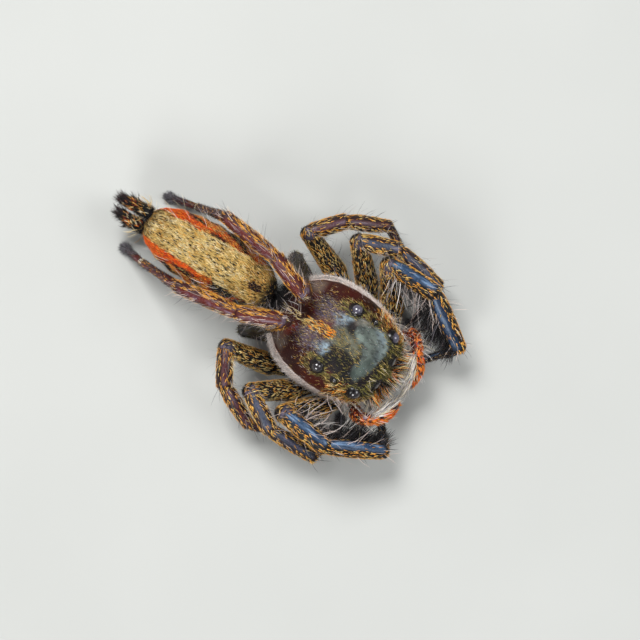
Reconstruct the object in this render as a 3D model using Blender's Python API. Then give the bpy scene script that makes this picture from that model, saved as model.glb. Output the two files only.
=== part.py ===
"""A male jumping spider, hyllus keratodes, life-size and still, with its legs drawn in as it rests.

It stands on the plane z = 0, head towards +X, its left side towards +Y. The solids are drawn in
millimetres, measured from the point midway between the two rear side eyes, and are carried into
metres, with the middle of the whole box over the origin, as the last step.
"""

import math
import random

import bmesh
import bpy
from mathutils import Matrix, Vector

# Whole animal
OBJECT_NAME = "hyllus_keratodes"
METRES_PER_MM = 0.001
JOINT_GAP = 0.25
EYE_GAP = 0.08
SIDES = {"left": 1, "right": -1}
SEED = 7

# Carapace: stations along the body, each with half width, margin height and top height
CARAPACE_STATIONS = (
    (-3.02, 0.62, 1.64, 1.86),
    (-2.88, 1.02, 1.60, 2.10),
    (-2.45, 1.52, 1.56, 2.52),
    (-1.90, 1.97, 1.52, 3.06),
    (-1.30, 2.25, 1.50, 3.56),
    (-0.60, 2.38, 1.50, 3.88),
    (0.10, 2.38, 1.52, 3.98),
    (0.80, 2.28, 1.58, 3.92),
    (1.45, 2.08, 1.70, 3.76),
    (1.95, 1.86, 1.86, 3.54),
    (2.22, 1.66, 1.96, 3.34),
    (2.34, 1.42, 2.06, 3.16),
)
CARAPACE_SQUARENESS = 2.5
CARAPACE_UNDERSIDE_LIFT = 0.26
DOME_POINTS = 18
UNDERSIDE_POINTS = 6

# Eyes: name, distance ahead of the rear side eyes, half spacing, height, radius
EYES = (
    ("eye_front_middle", 2.15, 0.56, 2.74, 0.46),
    ("eye_front_side", 1.90, 1.40, 3.08, 0.27),
    ("eye_rear_middle", 0.92, 1.50, 3.52, 0.10),
    ("eye_rear_side", 0.00, 1.43, 3.62, 0.25),
)

# Underside
STERNUM_CENTRE = (-0.30, 0.0, 0.98)
STERNUM_HALF_SIZE = (1.35, 0.52, 0.42)
MOUTHPART_CENTRE = (1.52, 0.0, 1.00)
MOUTHPART_HALF_SIZE = (0.26, 0.42, 0.36)
PEDICEL = ((-2.12, 0.0, 1.16), (-2.98, -0.02, 1.20))
PEDICEL_RADIUS = 0.25

# Abdomen
ABDOMEN_FRONT, ABDOMEN_REAR = -3.22, -9.42
ABDOMEN_HALF_WIDTH = 1.46
ABDOMEN_HALF_HEIGHT = 1.27
ABDOMEN_MIDDLE_HEIGHT = 1.90
ABDOMEN_TURN_DEG = 4.6
ABDOMEN_SQUARENESS = 2.35
ABDOMEN_RINGS = 16
ABDOMEN_POINTS = 22

# Spinnerets: name, root, tip, root radius. The left upper one is held out, the others hang
SPINNERETS = (
    ("spinneret_upper_left", (-9.80, 0.26, 2.12), (-10.62, 0.24, 2.06), 0.27),
    ("spinneret_upper_right", (-9.78, -0.36, 1.88), (-10.46, -0.32, 1.62), 0.25),
    ("spinneret_lower_left", (-9.72, 0.38, 1.36), (-10.26, 0.42, 1.14), 0.22),
    ("spinneret_lower_right", (-9.68, -0.36, 1.30), (-10.08, -0.44, 0.88), 0.22),
)
SPINNERET_LOCKS = 5
SPINNERET_LOCK_LENGTH = 0.55
SPINNERET_LOCK_SPREAD = 0.20

# Chelicerae and palps, left side; the right side mirrors them
CHELICERA_ROOT = (2.18, 0.53, 1.42)
CHELICERA_TIP = (2.46, 0.45, 0.66)
CHELICERA_RADII = (0.34, 0.40, 0.28)
FANG_TIP = (2.32, 0.28, 0.44)
PALP_UPPER_PATH = ((1.86, 1.24, 1.02), (2.16, 1.70, 1.20), (2.50, 2.04, 1.64), (2.84, 1.94, 2.00))
PALP_UPPER_RADII = (0.24, 0.25, 0.25, 0.24)
PALP_BULB_PATH = ((2.84, 1.94, 2.00), (3.20, 1.60, 2.04), (3.50, 1.12, 1.92), (3.66, 0.52, 1.60))
PALP_BULB_RADII = (0.24, 0.27, 0.30, 0.17)
# How far the two hands are swung to the animal's right
PALP_SWAY = 0.20
PALP_LOCKS = 5
PALP_LOCK_LENGTH = 0.70

# Beard of the face
BEARD_LOCKS = 7
BEARD_HALF_WIDTH = 0.96
BEARD_LENGTH = 0.78

# Legs: lengths of femur, patella, tibia, metatarsus and tarsus, shared by the two sides
LEG_LENGTHS = {
    1: (3.18, 2.26, 2.74, 1.90, 0.92),
    2: (3.12, 1.82, 2.35, 1.60, 0.80),
    3: (3.10, 1.66, 2.05, 1.85, 0.85),
    4: (3.68, 1.98, 3.02, 2.60, 1.40),
}
# Half thicknesses along each leg: coxa, femur root, femur middle, knee, patella, tibia root, tibia end,
# metatarsus, tarsus
LEG_RADII = {
    1: (0.33, 0.30, 0.52, 0.43, 0.43, 0.39, 0.33, 0.25, 0.22),
    2: (0.31, 0.28, 0.50, 0.40, 0.39, 0.36, 0.30, 0.24, 0.21),
    3: (0.31, 0.28, 0.49, 0.39, 0.38, 0.36, 0.29, 0.24, 0.21),
    4: (0.34, 0.32, 0.38, 0.37, 0.38, 0.36, 0.31, 0.25, 0.20),
}
COXA_ROOTS = {1: (0.84, 0.98, 0.92), 2: (0.06, 1.06, 0.90), 3: (-0.72, 1.06, 0.90), 4: (-1.46, 0.96, 0.94)}
HIPS = {1: (1.62, 2.08, 0.80), 2: (0.34, 2.24, 0.76), 3: (-0.98, 2.24, 0.76), 4: (-3.42, 1.87, 1.15)}
# How far the femur sags below the straight line from hip to knee, to pass under the carapace's edge
FEMUR_SAG = {1: 0.46, 2: 0.46, 3: 0.44, 4: 0.0}
# Each segment's heading from straight ahead towards its own side, and its rise, in degrees.
# The tarsus has only a heading: it comes down to the floor.
LEG_POSES = {
    (1, "left"): ((133, 41), (4, -5), (-29, -21), (-128, -31), -130),
    (1, "right"): ((133, 41), (3, -4), (-31, -22), (-130, -31), -128),
    (2, "left"): ((140, 33), (23, -9), (-5, -20), (-86, -28), -100),
    (2, "right"): ((141, 33), (27, -9), (-4, -21), (-84, -28), -102),
    (3, "left"): ((164, 29), (53, -9), (31, -22), (-24, -20), -40),
    (3, "right"): ((165, 28), (56, -9), (22, -21), (-20, -20), -44),
    (4, "left"): ((-45, 61), (161, -15), (175, -21), (-170, -60), -165),
    (4, "right"): ((-44, 63), (154, -16), (169, -20), (-179, -44), -174),
}
LIMB_POINTS = 10
FEMUR_DEPTH = 1.12
TOE_SINK = 0.06

# Hair that stands off the front legs: how many locks, their length, the part of the segment they cover
BRUSH_LOCKS = 8
BRUSH_LENGTH = 1.45
FRINGE_LOCKS = 5
FRINGE_LENGTH = 1.05
LOCK_WIDTH = 0.52
LOCK_THICKNESS = 0.26
LOCK_ROOT_DEPTH = 0.16

COLOURS = {
    "shell": ((0.075, 0.014, 0.010), 0.28),
    "underside": ((0.045, 0.020, 0.014), 0.45),
    "abdomen": ((0.50, 0.34, 0.14), 0.75),
    "leg": ((0.060, 0.030, 0.022), 0.42),
    "front_leg": ((0.030, 0.045, 0.075), 0.30),
    "palp": ((0.62, 0.17, 0.03), 0.60),
    "mouth": ((0.050, 0.020, 0.014), 0.40),
    "spinneret": ((0.020, 0.017, 0.016), 0.70),
    "eye": ((0.010, 0.010, 0.014), 0.05),
}


def clear_scene():
    """Remove whatever objects the file opened with."""
    for ob in list(bpy.data.objects):
        bpy.data.objects.remove(ob, do_unlink=True)


def new_collection(name):
    collection = bpy.data.collections.new(name)
    bpy.context.scene.collection.children.link(collection)
    return collection


def new_material(node_name, look):
    colour, roughness = COLOURS[look]
    material = bpy.data.materials.new(node_name + "_finish")
    material.use_nodes = True
    shader = material.node_tree.nodes["Principled BSDF"]
    shader.inputs["Base Color"].default_value = (*colour, 1.0)
    shader.inputs["Roughness"].default_value = roughness
    shader.inputs["Metallic"].default_value = 0.0
    return material


def new_object(name, mesh_builder, collection):
    """An object whose mesh is a finished bmesh with its faces turned outwards."""
    bmesh.ops.recalc_face_normals(mesh_builder, faces=mesh_builder.faces)
    mesh = bpy.data.meshes.new(name)
    mesh_builder.to_mesh(mesh)
    mesh_builder.free()
    mesh.shade_smooth()
    mesh.set_sharp_from_angle(angle=math.radians(40))
    ob = bpy.data.objects.new(name, mesh)
    collection.objects.link(ob)
    return ob


def loft(rings):
    """A closed skin through rings of equally many points, its two ends filled."""
    bm = bmesh.new()
    rows = [[bm.verts.new(point) for point in ring] for ring in rings]
    for row, following in zip(rows, rows[1:]):
        count = len(row)
        for i in range(count):
            j = (i + 1) % count
            bm.faces.new((row[i], row[j], following[j], following[i]))
    bm.faces.new(rows[0])
    bm.faces.new(reversed(rows[-1]))
    return bm


def power(value, exponent):
    return math.copysign(abs(value) ** exponent, value)


def along(path, radii, shares):
    """Points and radii at the given shares of a smooth curve through the path."""
    last = len(path) - 1
    points, sizes = [], []
    for share in shares:
        position = min(share * last, last - 1e-9)
        i = int(position)
        t = position - i
        near = [Vector(path[min(max(k, 0), last)]) for k in (i - 1, i, i + 1, i + 2)]
        a, b, c, d = near
        points.append(0.5 * (2 * b + (c - a) * t + (2 * a - 5 * b + 4 * c - d) * t**2
                             + (3 * b - a - 3 * c + d) * t**3))
        ease = t * t * (3 - 2 * t)
        sizes.append(radii[i] * (1 - ease) + radii[i + 1] * ease)
    return points, sizes


def frames_along(points, up=Vector((0, 0, 1))):
    """A sideways and an upward direction at each point, square to the path and free of twist."""
    tangents = []
    for i in range(len(points)):
        before = points[max(i - 1, 0)]
        after = points[min(i + 1, len(points) - 1)]
        tangents.append((after - before).normalized())
    side = up.cross(tangents[0])
    if side.length < 0.05:
        side = Vector((0, 1, 0))
    frames = []
    for tangent in tangents:
        side = (side - tangent * side.dot(tangent)).normalized()
        frames.append((side.copy(), tangent.cross(side), tangent))
    return frames


def tube(path, radii, rings=8, points=LIMB_POINTS, depth=1.0):
    """A round-ended limb along a smooth path, deeper than wide by the given factor."""
    shares = [i / (rings - 1) for i in range(rings)]
    centres, sizes = along(path, radii, shares)
    frames = frames_along(centres)
    made = []

    def ring(centre, size, frame):
        side, rise, _ = frame
        turns = (math.tau * k / points for k in range(points))
        return [centre + side * size * math.cos(a) + rise * size * depth * math.sin(a) for a in turns]

    for angle in (72, 42):
        back = math.sin(math.radians(angle)) * sizes[0]
        drawn_in = math.cos(math.radians(angle)) * sizes[0]
        made.append(ring(centres[0] - frames[0][2] * back, drawn_in, frames[0]))
    for centre, size, frame in zip(centres, sizes, frames):
        made.append(ring(centre, size, frame))
    for angle in (42, 72):
        on = math.sin(math.radians(angle)) * sizes[-1]
        drawn_in = math.cos(math.radians(angle)) * sizes[-1]
        made.append(ring(centres[-1] + frames[-1][2] * on, drawn_in, frames[-1]))
    return loft(made)


def ellipsoid(centre, half_size, segments=20, rings=12):
    bm = bmesh.new()
    bmesh.ops.create_uvsphere(bm, u_segments=segments, v_segments=rings, radius=1.0)
    bm.transform(Matrix.Translation(centre) @ Matrix.Diagonal((*half_size, 1.0)))
    return bm


def lock(root, lie, bend, length, facing, width=LOCK_WIDTH, thickness=LOCK_THICKNESS):
    """A flat tapered lock of hair that leaves its root along lie and curves towards bend."""
    lie, bend = lie.normalized(), bend.normalized()
    start = root - lie * LOCK_ROOT_DEPTH
    shares = (0.0, 0.35, 0.72, 1.0)
    fullness = (0.85, 1.0, 0.66, 0.12)
    rings = []
    for share, full in zip(shares, fullness):
        way = lie.lerp(bend, share)
        centre = start + way * (length + LOCK_ROOT_DEPTH) * share
        across = way.cross(facing).normalized() * width * 0.5 * full
        through = across.normalized().cross(way.normalized()) * thickness * 0.5 * full
        rings.append([centre + across, centre + through, centre - across, centre - through])
    return loft(rings)


def cut_square(bm, point, outward):
    """Cut away what lies beyond a plane and close the cut with a flat face."""
    everything = bm.verts[:] + bm.edges[:] + bm.faces[:]
    cut = bmesh.ops.bisect_plane(bm, geom=everything, dist=1e-5, plane_co=point, plane_no=outward,
                                 clear_outer=True)
    rim = [g for g in cut["geom_cut"] if isinstance(g, bmesh.types.BMEdge)]
    bmesh.ops.edgeloop_fill(bm, edges=rim)


def set_on_floor(bm):
    """Press whatever hangs below the floor into a small flat on it."""
    for vertex in bm.verts:
        vertex.co.z = max(vertex.co.z, 0.0)


def keep_largest(ob):
    """Keep only the closed surface with the most faces."""
    bm = bmesh.new()
    bm.from_mesh(ob.data)
    unseen = set(bm.faces)
    surfaces = []
    while unseen:
        stack = [unseen.pop()]
        surface = set(stack)
        while stack:
            for edge in stack.pop().edges:
                for face in edge.link_faces:
                    if face in unseen:
                        unseen.remove(face)
                        surface.add(face)
                        stack.append(face)
        surfaces.append(surface)
    surfaces.sort(key=len)
    scraps = [face for surface in surfaces[:-1] for face in surface]
    bmesh.ops.delete(bm, geom=scraps, context="FACES")
    bm.to_mesh(ob.data)
    bm.free()


def combine(ob, others, operation):
    """Join closed objects to ob, or cut them from it, and apply the result."""
    tools = new_collection(ob.name + "_tools")
    for i, bm in enumerate(others):
        new_object(f"{ob.name}_tool_{i}", bm, tools)
    boolean = ob.modifiers.new("combine", "BOOLEAN")
    boolean.operation = operation
    boolean.operand_type = "COLLECTION"
    boolean.collection = tools
    boolean.solver = "MANIFOLD"
    view = bpy.context.evaluated_depsgraph_get()
    mesh = bpy.data.meshes.new_from_object(ob.evaluated_get(view))
    ob.modifiers.clear()
    ob.data = mesh
    mesh.name = ob.name
    for tool in list(tools.objects):
        bpy.data.objects.remove(tool, do_unlink=True)
    bpy.data.collections.remove(tools)
    keep_largest(ob)


class Spider:
    """The animal's nodes, made one after another into one collection."""

    def __init__(self):
        self.collection = new_collection(OBJECT_NAME)
        self.draw = random.Random(SEED)

    def node(self, name, bm, look, joined=(), cut=()):
        ob = new_object(name, bm, self.collection)
        if joined:
            combine(ob, joined, "UNION")
        if cut:
            combine(ob, cut, "DIFFERENCE")
        ob.data.materials.clear()
        ob.data.materials.append(new_material(name, look))
        return ob

    def carapace(self):
        """The domed shield of the head and chest, with a seat for each eye and the beard of the face."""
        rings = []
        for x, half_width, margin, top in CARAPACE_STATIONS:
            ring = []
            for i in range(DOME_POINTS):
                angle = math.pi * i / (DOME_POINTS - 1)
                across = power(math.cos(angle), 2 / CARAPACE_SQUARENESS)
                height = abs(math.sin(angle)) ** (2 / CARAPACE_SQUARENESS)
                ring.append(Vector((x, half_width * across, margin + (top - margin) * height)))
            for i in range(1, UNDERSIDE_POINTS):
                across = -1 + 2 * i / UNDERSIDE_POINTS
                lift = CARAPACE_UNDERSIDE_LIFT * (1 - across * across)
                ring.append(Vector((x, half_width * across, margin + min(lift, (top - margin) * 0.4))))
            rings.append(ring)
        seats = []
        for _, x, half_spacing, height, radius in EYES:
            for side in SIDES.values():
                seat = radius + EYE_GAP
                seats.append(ellipsoid((x, side * half_spacing, height), (seat,) * 3, 12, 8))
        self.node("carapace", loft(rings), "shell", joined=self.beard(), cut=seats)

    def beard(self):
        """Locks that hang from the lower edge of the face, over the roots of the chelicerae."""
        face_x, _, edge, _ = CARAPACE_STATIONS[-1]
        locks = []
        for i in range(BEARD_LOCKS):
            share = 2 * i / (BEARD_LOCKS - 1) - 1
            y = share * BEARD_HALF_WIDTH
            root = Vector((face_x - 0.02 - 0.16 * share * share, y, edge + 0.16))
            lie = Vector((1.0, 0.25 * share, -0.25))
            hang = Vector((0.75, 0.10 * share, -0.85))
            length = BEARD_LENGTH * self.draw.uniform(0.85, 1.1)
            locks.append(lock(root, lie, hang, length, Vector((0, 0, 1)), LOCK_WIDTH * 0.8))
        return locks

    def eyes(self):
        for name, x, half_spacing, height, radius in EYES:
            for side, sign in SIDES.items():
                centre = (x, sign * half_spacing, height)
                self.node(f"{name}_{side}", ellipsoid(centre, (radius,) * 3, 14, 8), "eye")

    def underside(self):
        self.node("sternum", ellipsoid(STERNUM_CENTRE, STERNUM_HALF_SIZE), "underside")
        self.node("mouthparts", ellipsoid(MOUTHPART_CENTRE, MOUTHPART_HALF_SIZE, 16, 10), "mouth")
        self.node("pedicel", tube(PEDICEL, (PEDICEL_RADIUS,) * 2, rings=4), "underside")

    def abdomen(self):
        """A long oval, blunt at both ends, that carries the spinnerets."""
        rings = []
        for i in range(ABDOMEN_RINGS):
            share = -math.cos(math.pi * (i + 0.35) / (ABDOMEN_RINGS - 0.3))
            x = (ABDOMEN_FRONT + ABDOMEN_REAR) / 2 + (ABDOMEN_REAR - ABDOMEN_FRONT) / 2 * share
            swell = (1 - abs(share) ** ABDOMEN_SQUARENESS) ** (1 / ABDOMEN_SQUARENESS)
            ring = []
            for k in range(ABDOMEN_POINTS):
                angle = math.tau * k / ABDOMEN_POINTS
                y = ABDOMEN_HALF_WIDTH * swell * math.cos(angle)
                z = ABDOMEN_MIDDLE_HEIGHT + ABDOMEN_HALF_HEIGHT * swell * math.sin(angle)
                ring.append(Vector((x, y, z)))
            rings.append(ring)
        body = loft(rings)
        body.transform(self.turn_behind())
        self.node("abdomen", body, "abdomen")

    def turn_behind(self):
        """The small sideways turn of the abdomen and its spinnerets about the pedicel."""
        hinge = Vector(PEDICEL[1])
        turn = Matrix.Rotation(math.radians(ABDOMEN_TURN_DEG), 4, "Z")
        return Matrix.Translation(hinge) @ turn @ Matrix.Translation(-hinge)

    def spinnerets(self):
        """Two pairs of long spinnerets, each ending in a brush of dark hair."""
        for name, root, tip, radius in SPINNERETS:
            start, end = self.turn_behind() @ Vector(root), self.turn_behind() @ Vector(tip)
            body = tube((start, end), (radius, radius * 0.85), rings=4, points=10)
            way = (end - start).normalized()
            brush = []
            for i in range(SPINNERET_LOCKS):
                angle = math.tau * i / SPINNERET_LOCKS
                out = Vector((0, math.cos(angle), math.sin(angle)))
                out = (out - way * out.dot(way)).normalized()
                leave = end - way * 0.18 + out * radius * 0.45
                long = SPINNERET_LOCK_LENGTH * self.draw.uniform(0.8, 1.1)
                spread = out * SPINNERET_LOCK_SPREAD
                brush.append(lock(leave, way + spread * 1.6, way + spread, long, out, 0.32, 0.22))
            self.node(name, body, "spinneret", joined=brush)

    def mouth(self):
        """Chelicerae with their fangs folded in, and the two palps held before them."""
        for side, sign in SIDES.items():
            root, tip = (Vector((p[0], sign * p[1], p[2])) for p in (CHELICERA_ROOT, CHELICERA_TIP))
            middle = (root + tip) / 2
            body = tube((root, middle, tip), CHELICERA_RADII, rings=6)
            fang_tip = Vector((FANG_TIP[0], sign * FANG_TIP[1], FANG_TIP[2]))
            fang = tube((tip, fang_tip), (0.16, 0.06), rings=3, points=8)
            self.node(f"chelicera_{side}", body, "mouth", joined=[fang])
            self.palp(side, sign)

    def palp(self, side, sign):
        upper = [Vector((x, sign * y, z)) for x, y, z in PALP_UPPER_PATH]
        bulb = [Vector((x, sign * y - PALP_SWAY, z)) for x, y, z in PALP_BULB_PATH]
        upper[-1] = bulb[0] = (upper[-1] + bulb[0]) / 2
        before = (upper[-1] - upper[-2]).normalized()
        after = (bulb[1] - bulb[0]).normalized()
        mitre = (before + after).normalized()
        arm = tube(upper, PALP_UPPER_RADII)
        cut_square(arm, upper[-1] - mitre * JOINT_GAP / 2, mitre)
        self.node(f"palp_{side}_arm", arm, "palp")
        hand = tube(bulb, PALP_BULB_RADII)
        cut_square(hand, bulb[0] + mitre * JOINT_GAP / 2, -mitre)
        shares = [0.35 + 0.55 * i / (PALP_LOCKS - 1) for i in range(PALP_LOCKS)]
        centres, sizes = along(bulb, PALP_BULB_RADII, shares)
        fringe = []
        for centre, size, share in zip(centres, sizes, shares):
            inward = Vector((-0.75, -sign * 0.35, -0.45)).normalized()
            lie = inward + Vector((0.1, -sign * 0.5, 0))
            long = PALP_LOCK_LENGTH * (1 - 0.35 * share) * self.draw.uniform(0.85, 1.1)
            leave = centre + inward * size * 0.8
            fringe.append(lock(leave, inward, lie, long, Vector((0, 0, 1)), 0.42, 0.22))
        self.node(f"palp_{side}_hand", hand, "palp", joined=fringe)

    def leg_joints(self, number, side):
        """Where the leg's segments meet, from its hip to its toe."""
        sign = SIDES[side]
        x, y, z = HIPS[number]
        joints = [Vector((x, sign * y, z))]
        lengths = LEG_LENGTHS[number]
        pose = LEG_POSES[(number, side)]
        for length, turn in zip(lengths, pose[:4]):
            heading, rise = (math.radians(angle) for angle in turn)
            flat = length * math.cos(rise)
            ahead, aside = flat * math.cos(heading), flat * math.sin(heading)
            joints.append(joints[-1] + Vector((ahead, sign * aside, length * math.sin(rise))))
        toe_height = LEG_RADII[number][-1] * 0.8 - TOE_SINK
        drop = joints[-1].z - toe_height
        flat = math.sqrt(max(lengths[4] ** 2 - drop**2, 0.01))
        heading = math.radians(pose[4])
        ahead, aside = flat * math.cos(heading), flat * math.sin(heading)
        joints.append(joints[-1] + Vector((ahead, sign * aside, -drop)))
        return joints

    def leg(self, number, side):
        """One leg in three nodes: hip to knee, knee to the end of the tibia, and the foot."""
        sign = SIDES[side]
        hip, knee, bend, ankle, foot, toe = self.leg_joints(number, side)
        coxa_r, root_r, femur_r, knee_r, patella_r, tibia_r, ankle_r, foot_r, toe_r = LEG_RADII[number]
        look = "front_leg" if number == 1 else "leg"
        x, y, z = COXA_ROOTS[number]
        coxa_root = Vector((x, sign * y, z))
        name = f"leg_{number}_{side}"

        knee_cut = ((knee - hip).normalized() + (bend - knee).normalized()).normalized()
        ankle_cut = ((ankle - bend).normalized() + (foot - ankle).normalized()).normalized()
        belly = hip.lerp(knee, 0.4) - Vector((0, 0, FEMUR_SAG[number]))
        femur = tube((hip, belly, knee), (root_r, femur_r, knee_r), depth=FEMUR_DEPTH)
        cut_square(femur, knee - knee_cut * JOINT_GAP / 2, knee_cut)
        coxa = tube((coxa_root, hip), (coxa_r, root_r), rings=4)
        self.node(f"{name}_thigh", femur, look, joined=[coxa])

        shin = tube((knee, knee.lerp(bend, 0.5), bend, bend.lerp(ankle, 0.5), ankle),
                    (knee_r * 0.86, patella_r, tibia_r, tibia_r, ankle_r), rings=11)
        cut_square(shin, knee + knee_cut * JOINT_GAP / 2, -knee_cut)
        cut_square(shin, ankle - ankle_cut * JOINT_GAP / 2, ankle_cut)
        hair = self.brush(knee, bend, ankle, foot, patella_r, tibia_r) if number == 1 else []
        self.node(f"{name}_shin", shin, look, joined=hair)

        path = (ankle, ankle.lerp(foot, 0.5), foot, toe)
        sole = tube(path, (ankle_r * 0.94, foot_r, foot_r, toe_r), rings=8)
        cut_square(sole, ankle + ankle_cut * JOINT_GAP / 2, -ankle_cut)
        set_on_floor(sole)
        self.node(f"{name}_foot", sole, look)

    def brush(self, knee, bend, ankle, foot, patella_r, tibia_r):
        """The pale fringe under a front leg's patella and the long dark brush under its tibia."""
        locks = []
        down = Vector((0, 0, -1))
        for start, end, radius, count, length, first, last in (
            (knee, bend, patella_r, FRINGE_LOCKS, FRINGE_LENGTH, 0.50, 0.96),
            (bend, ankle, tibia_r, BRUSH_LOCKS, BRUSH_LENGTH, 0.06, 0.72),
        ):
            way = (end - start).normalized()
            inner = (foot - ankle).normalized()
            inner = (inner - way * inner.dot(way)).normalized()
            for i in range(count):
                share = first + (last - first) * i / (count - 1)
                lie = down * 0.62 + inner * 0.78
                lie = (lie - way * lie.dot(way)).normalized()
                root = start.lerp(end, share) + lie * radius * 0.85
                long = length * self.draw.uniform(0.85, 1.1)
                reach = lie + way * 0.35 + down * 0.1
                locks.append(lock(root, lie, reach, long, lie.cross(way)))
        return locks

    def settle(self):
        """Carry every node into metres, with the middle of the whole box over the origin."""
        nodes = self.collection.objects
        corners = [ob.matrix_world @ Vector(corner) for ob in nodes for corner in ob.bound_box]
        low_x, high_x = min(c.x for c in corners), max(c.x for c in corners)
        low_y, high_y = min(c.y for c in corners), max(c.y for c in corners)
        middle = Vector(((low_x + high_x) / 2, (low_y + high_y) / 2, 0.0))
        change = Matrix.Scale(METRES_PER_MM, 4) @ Matrix.Translation(-middle)
        for ob in self.collection.objects:
            ob.data.transform(change)


def main():
    clear_scene()
    spider = Spider()
    spider.carapace()
    spider.eyes()
    spider.underside()
    spider.abdomen()
    spider.spinnerets()
    spider.mouth()
    for number in LEG_LENGTHS:
        for side in SIDES:
            spider.leg(number, side)
    bpy.context.view_layer.update()
    spider.settle()


main()
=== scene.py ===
"""Looks of a life-size male jumping spider, hyllus keratodes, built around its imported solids.

Everything is drawn in millimetres in the animal's own frame: x forward from the point midway
between the rear side eyes, y to its left, z up from the floor. The last step of each piece
carries it into the row frame, in metres.
"""

import logging
import math
from dataclasses import dataclass, field
from enum import Enum
from typing import Callable, Iterable, Sequence

import bpy
import numpy as np
from mathutils import Matrix, Vector

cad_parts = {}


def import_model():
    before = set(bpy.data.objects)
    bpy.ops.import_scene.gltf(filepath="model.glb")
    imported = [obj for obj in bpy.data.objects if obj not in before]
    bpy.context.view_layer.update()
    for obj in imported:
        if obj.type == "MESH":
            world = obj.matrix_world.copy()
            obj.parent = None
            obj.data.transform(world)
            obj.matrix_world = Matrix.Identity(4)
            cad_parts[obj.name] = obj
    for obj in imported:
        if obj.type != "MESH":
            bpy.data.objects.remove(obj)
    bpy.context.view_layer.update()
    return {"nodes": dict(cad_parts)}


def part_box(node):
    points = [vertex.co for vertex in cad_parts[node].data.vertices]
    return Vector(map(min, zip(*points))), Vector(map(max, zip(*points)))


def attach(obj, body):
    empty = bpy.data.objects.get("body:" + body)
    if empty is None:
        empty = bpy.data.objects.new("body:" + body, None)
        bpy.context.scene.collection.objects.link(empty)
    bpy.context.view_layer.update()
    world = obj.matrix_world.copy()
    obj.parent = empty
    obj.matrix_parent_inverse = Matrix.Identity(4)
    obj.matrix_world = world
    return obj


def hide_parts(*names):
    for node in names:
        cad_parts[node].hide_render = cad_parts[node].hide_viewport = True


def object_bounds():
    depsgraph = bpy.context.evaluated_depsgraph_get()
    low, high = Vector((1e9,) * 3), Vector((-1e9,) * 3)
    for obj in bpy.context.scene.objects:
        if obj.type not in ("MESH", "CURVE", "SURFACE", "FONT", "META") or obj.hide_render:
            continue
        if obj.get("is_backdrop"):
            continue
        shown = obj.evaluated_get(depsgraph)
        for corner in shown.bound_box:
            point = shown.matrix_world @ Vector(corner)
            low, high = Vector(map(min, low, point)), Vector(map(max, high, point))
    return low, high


Array = np.ndarray
Socket = bpy.types.NodeSocket
Field = Callable[["Sites"], Array]
Marks = Callable[["Sites"], tuple[Array, Array]]

log = logging.getLogger("jumping_spider")

# Whole scene
METRES_PER_MM = 0.001
BODY = "root"
SEED = 7
UP = np.array((0.0, 0.0, 1.0))
BACKWARD = np.array((-1.0, 0.0, 0.0))
BOX_ALLOWANCE = 0.024
FLOOR_CLEARANCE = 0.004
FLOOR_HALF = 300.0
LENS_CLEARANCE = 0.0855
CAP_REACH = 0.55
BUMP_STRENGTH = 0.6

# Carapace, as in the solids: distance forward, half width, margin height, top height
CARAPACE_STATIONS = (
    (-3.02, 0.62, 1.64, 1.86),
    (-2.88, 1.02, 1.60, 2.10),
    (-2.45, 1.52, 1.56, 2.52),
    (-1.90, 1.97, 1.52, 3.06),
    (-1.30, 2.25, 1.50, 3.56),
    (-0.60, 2.38, 1.50, 3.88),
    (0.10, 2.38, 1.52, 3.98),
    (0.80, 2.28, 1.58, 3.92),
    (1.45, 2.08, 1.70, 3.76),
    (1.95, 1.86, 1.86, 3.54),
    (2.22, 1.66, 1.96, 3.34),
    (2.34, 1.42, 2.06, 3.16),
)
CARAPACE_SQUARENESS = 2.5
CARAPACE_UNDERSIDE_LIFT = 0.26

# Abdomen, as in the solids
PEDICEL = ((-2.12, 0.0, 1.16), (-2.98, -0.02, 1.20))
ABDOMEN_FRONT, ABDOMEN_REAR = -3.22, -9.42
ABDOMEN_HALF_WIDTH = 1.46
ABDOMEN_HALF_HEIGHT = 1.27
ABDOMEN_MIDDLE_HEIGHT = 1.90
ABDOMEN_TURN_DEG = 4.6
ABDOMEN_SQUARENESS = 2.35

# How deep the coat lies over the skin on each part
CARAPACE_COAT = 0.05
ABDOMEN_COAT = 0.09
LIMB_COAT_SHARE = 0.94


class Paint(Enum):
    """The animal's colours, and the painted highlights and reflections laid over them, in display hex."""

    MAHOGANY = "#400f09"
    DEEP_MAHOGANY = "#1b0604"
    RED_BROWN = "#661a0f"
    MAROON = "#45110c"
    JET = "#0b090a"
    SMOKE = "#2a2729"
    GREY = "#77747a"
    WHITE = "#f8f0ea"
    PINK_WHITE = "#e2cdc2"
    SILVER = "#b4a9a6"
    CREAM = "#f0dfb4"
    STRAW = "#dcbb70"
    PALE_STRAW = "#f0d694"
    TAN = "#a5894c"
    BRASS = "#8a6e36"
    GOLD = "#e4a644"
    AMBER = "#cd8a34"
    ORANGE = "#ee8a24"
    FLAME = "#f25a0c"
    RUST = "#9a2f0c"
    OLIVE = "#736d2d"
    OLIVE_GOLD = "#9c9148"
    TEAL = "#59635d"
    OLIVE_GREY = "#5a5b4c"
    DARK_TEAL = "#28332f"
    PALE_BLUE = "#70808a"
    STEEL = "#2c435f"
    PALE_STEEL = "#7f9bbd"
    NIGHT_BLUE = "#141f33"
    LAVENDER = "#6f667c"
    PALE_LAVENDER = "#a99fb2"
    LENS_REFLECTION = "#4d4a57"
    PLUM = "#2a1617"
    VIOLET_BROWN = "#4a2b2e"
    BLUE_GREY = "#3c4250"
    ROSE_BROWN = "#582621"
    LAVENDER_BROWN = "#51424a"
    PALE_HORN = "#857c70"

    @property
    def rgb(self) -> Array:
        """The colour as linear red, green and blue."""
        display = np.array([int(self.value[i:i + 2], 16) for i in (1, 3, 5)]) / 255
        return np.where(display <= 0.04045, display / 12.92, ((display + 0.055) / 1.055) ** 2.4)


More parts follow.
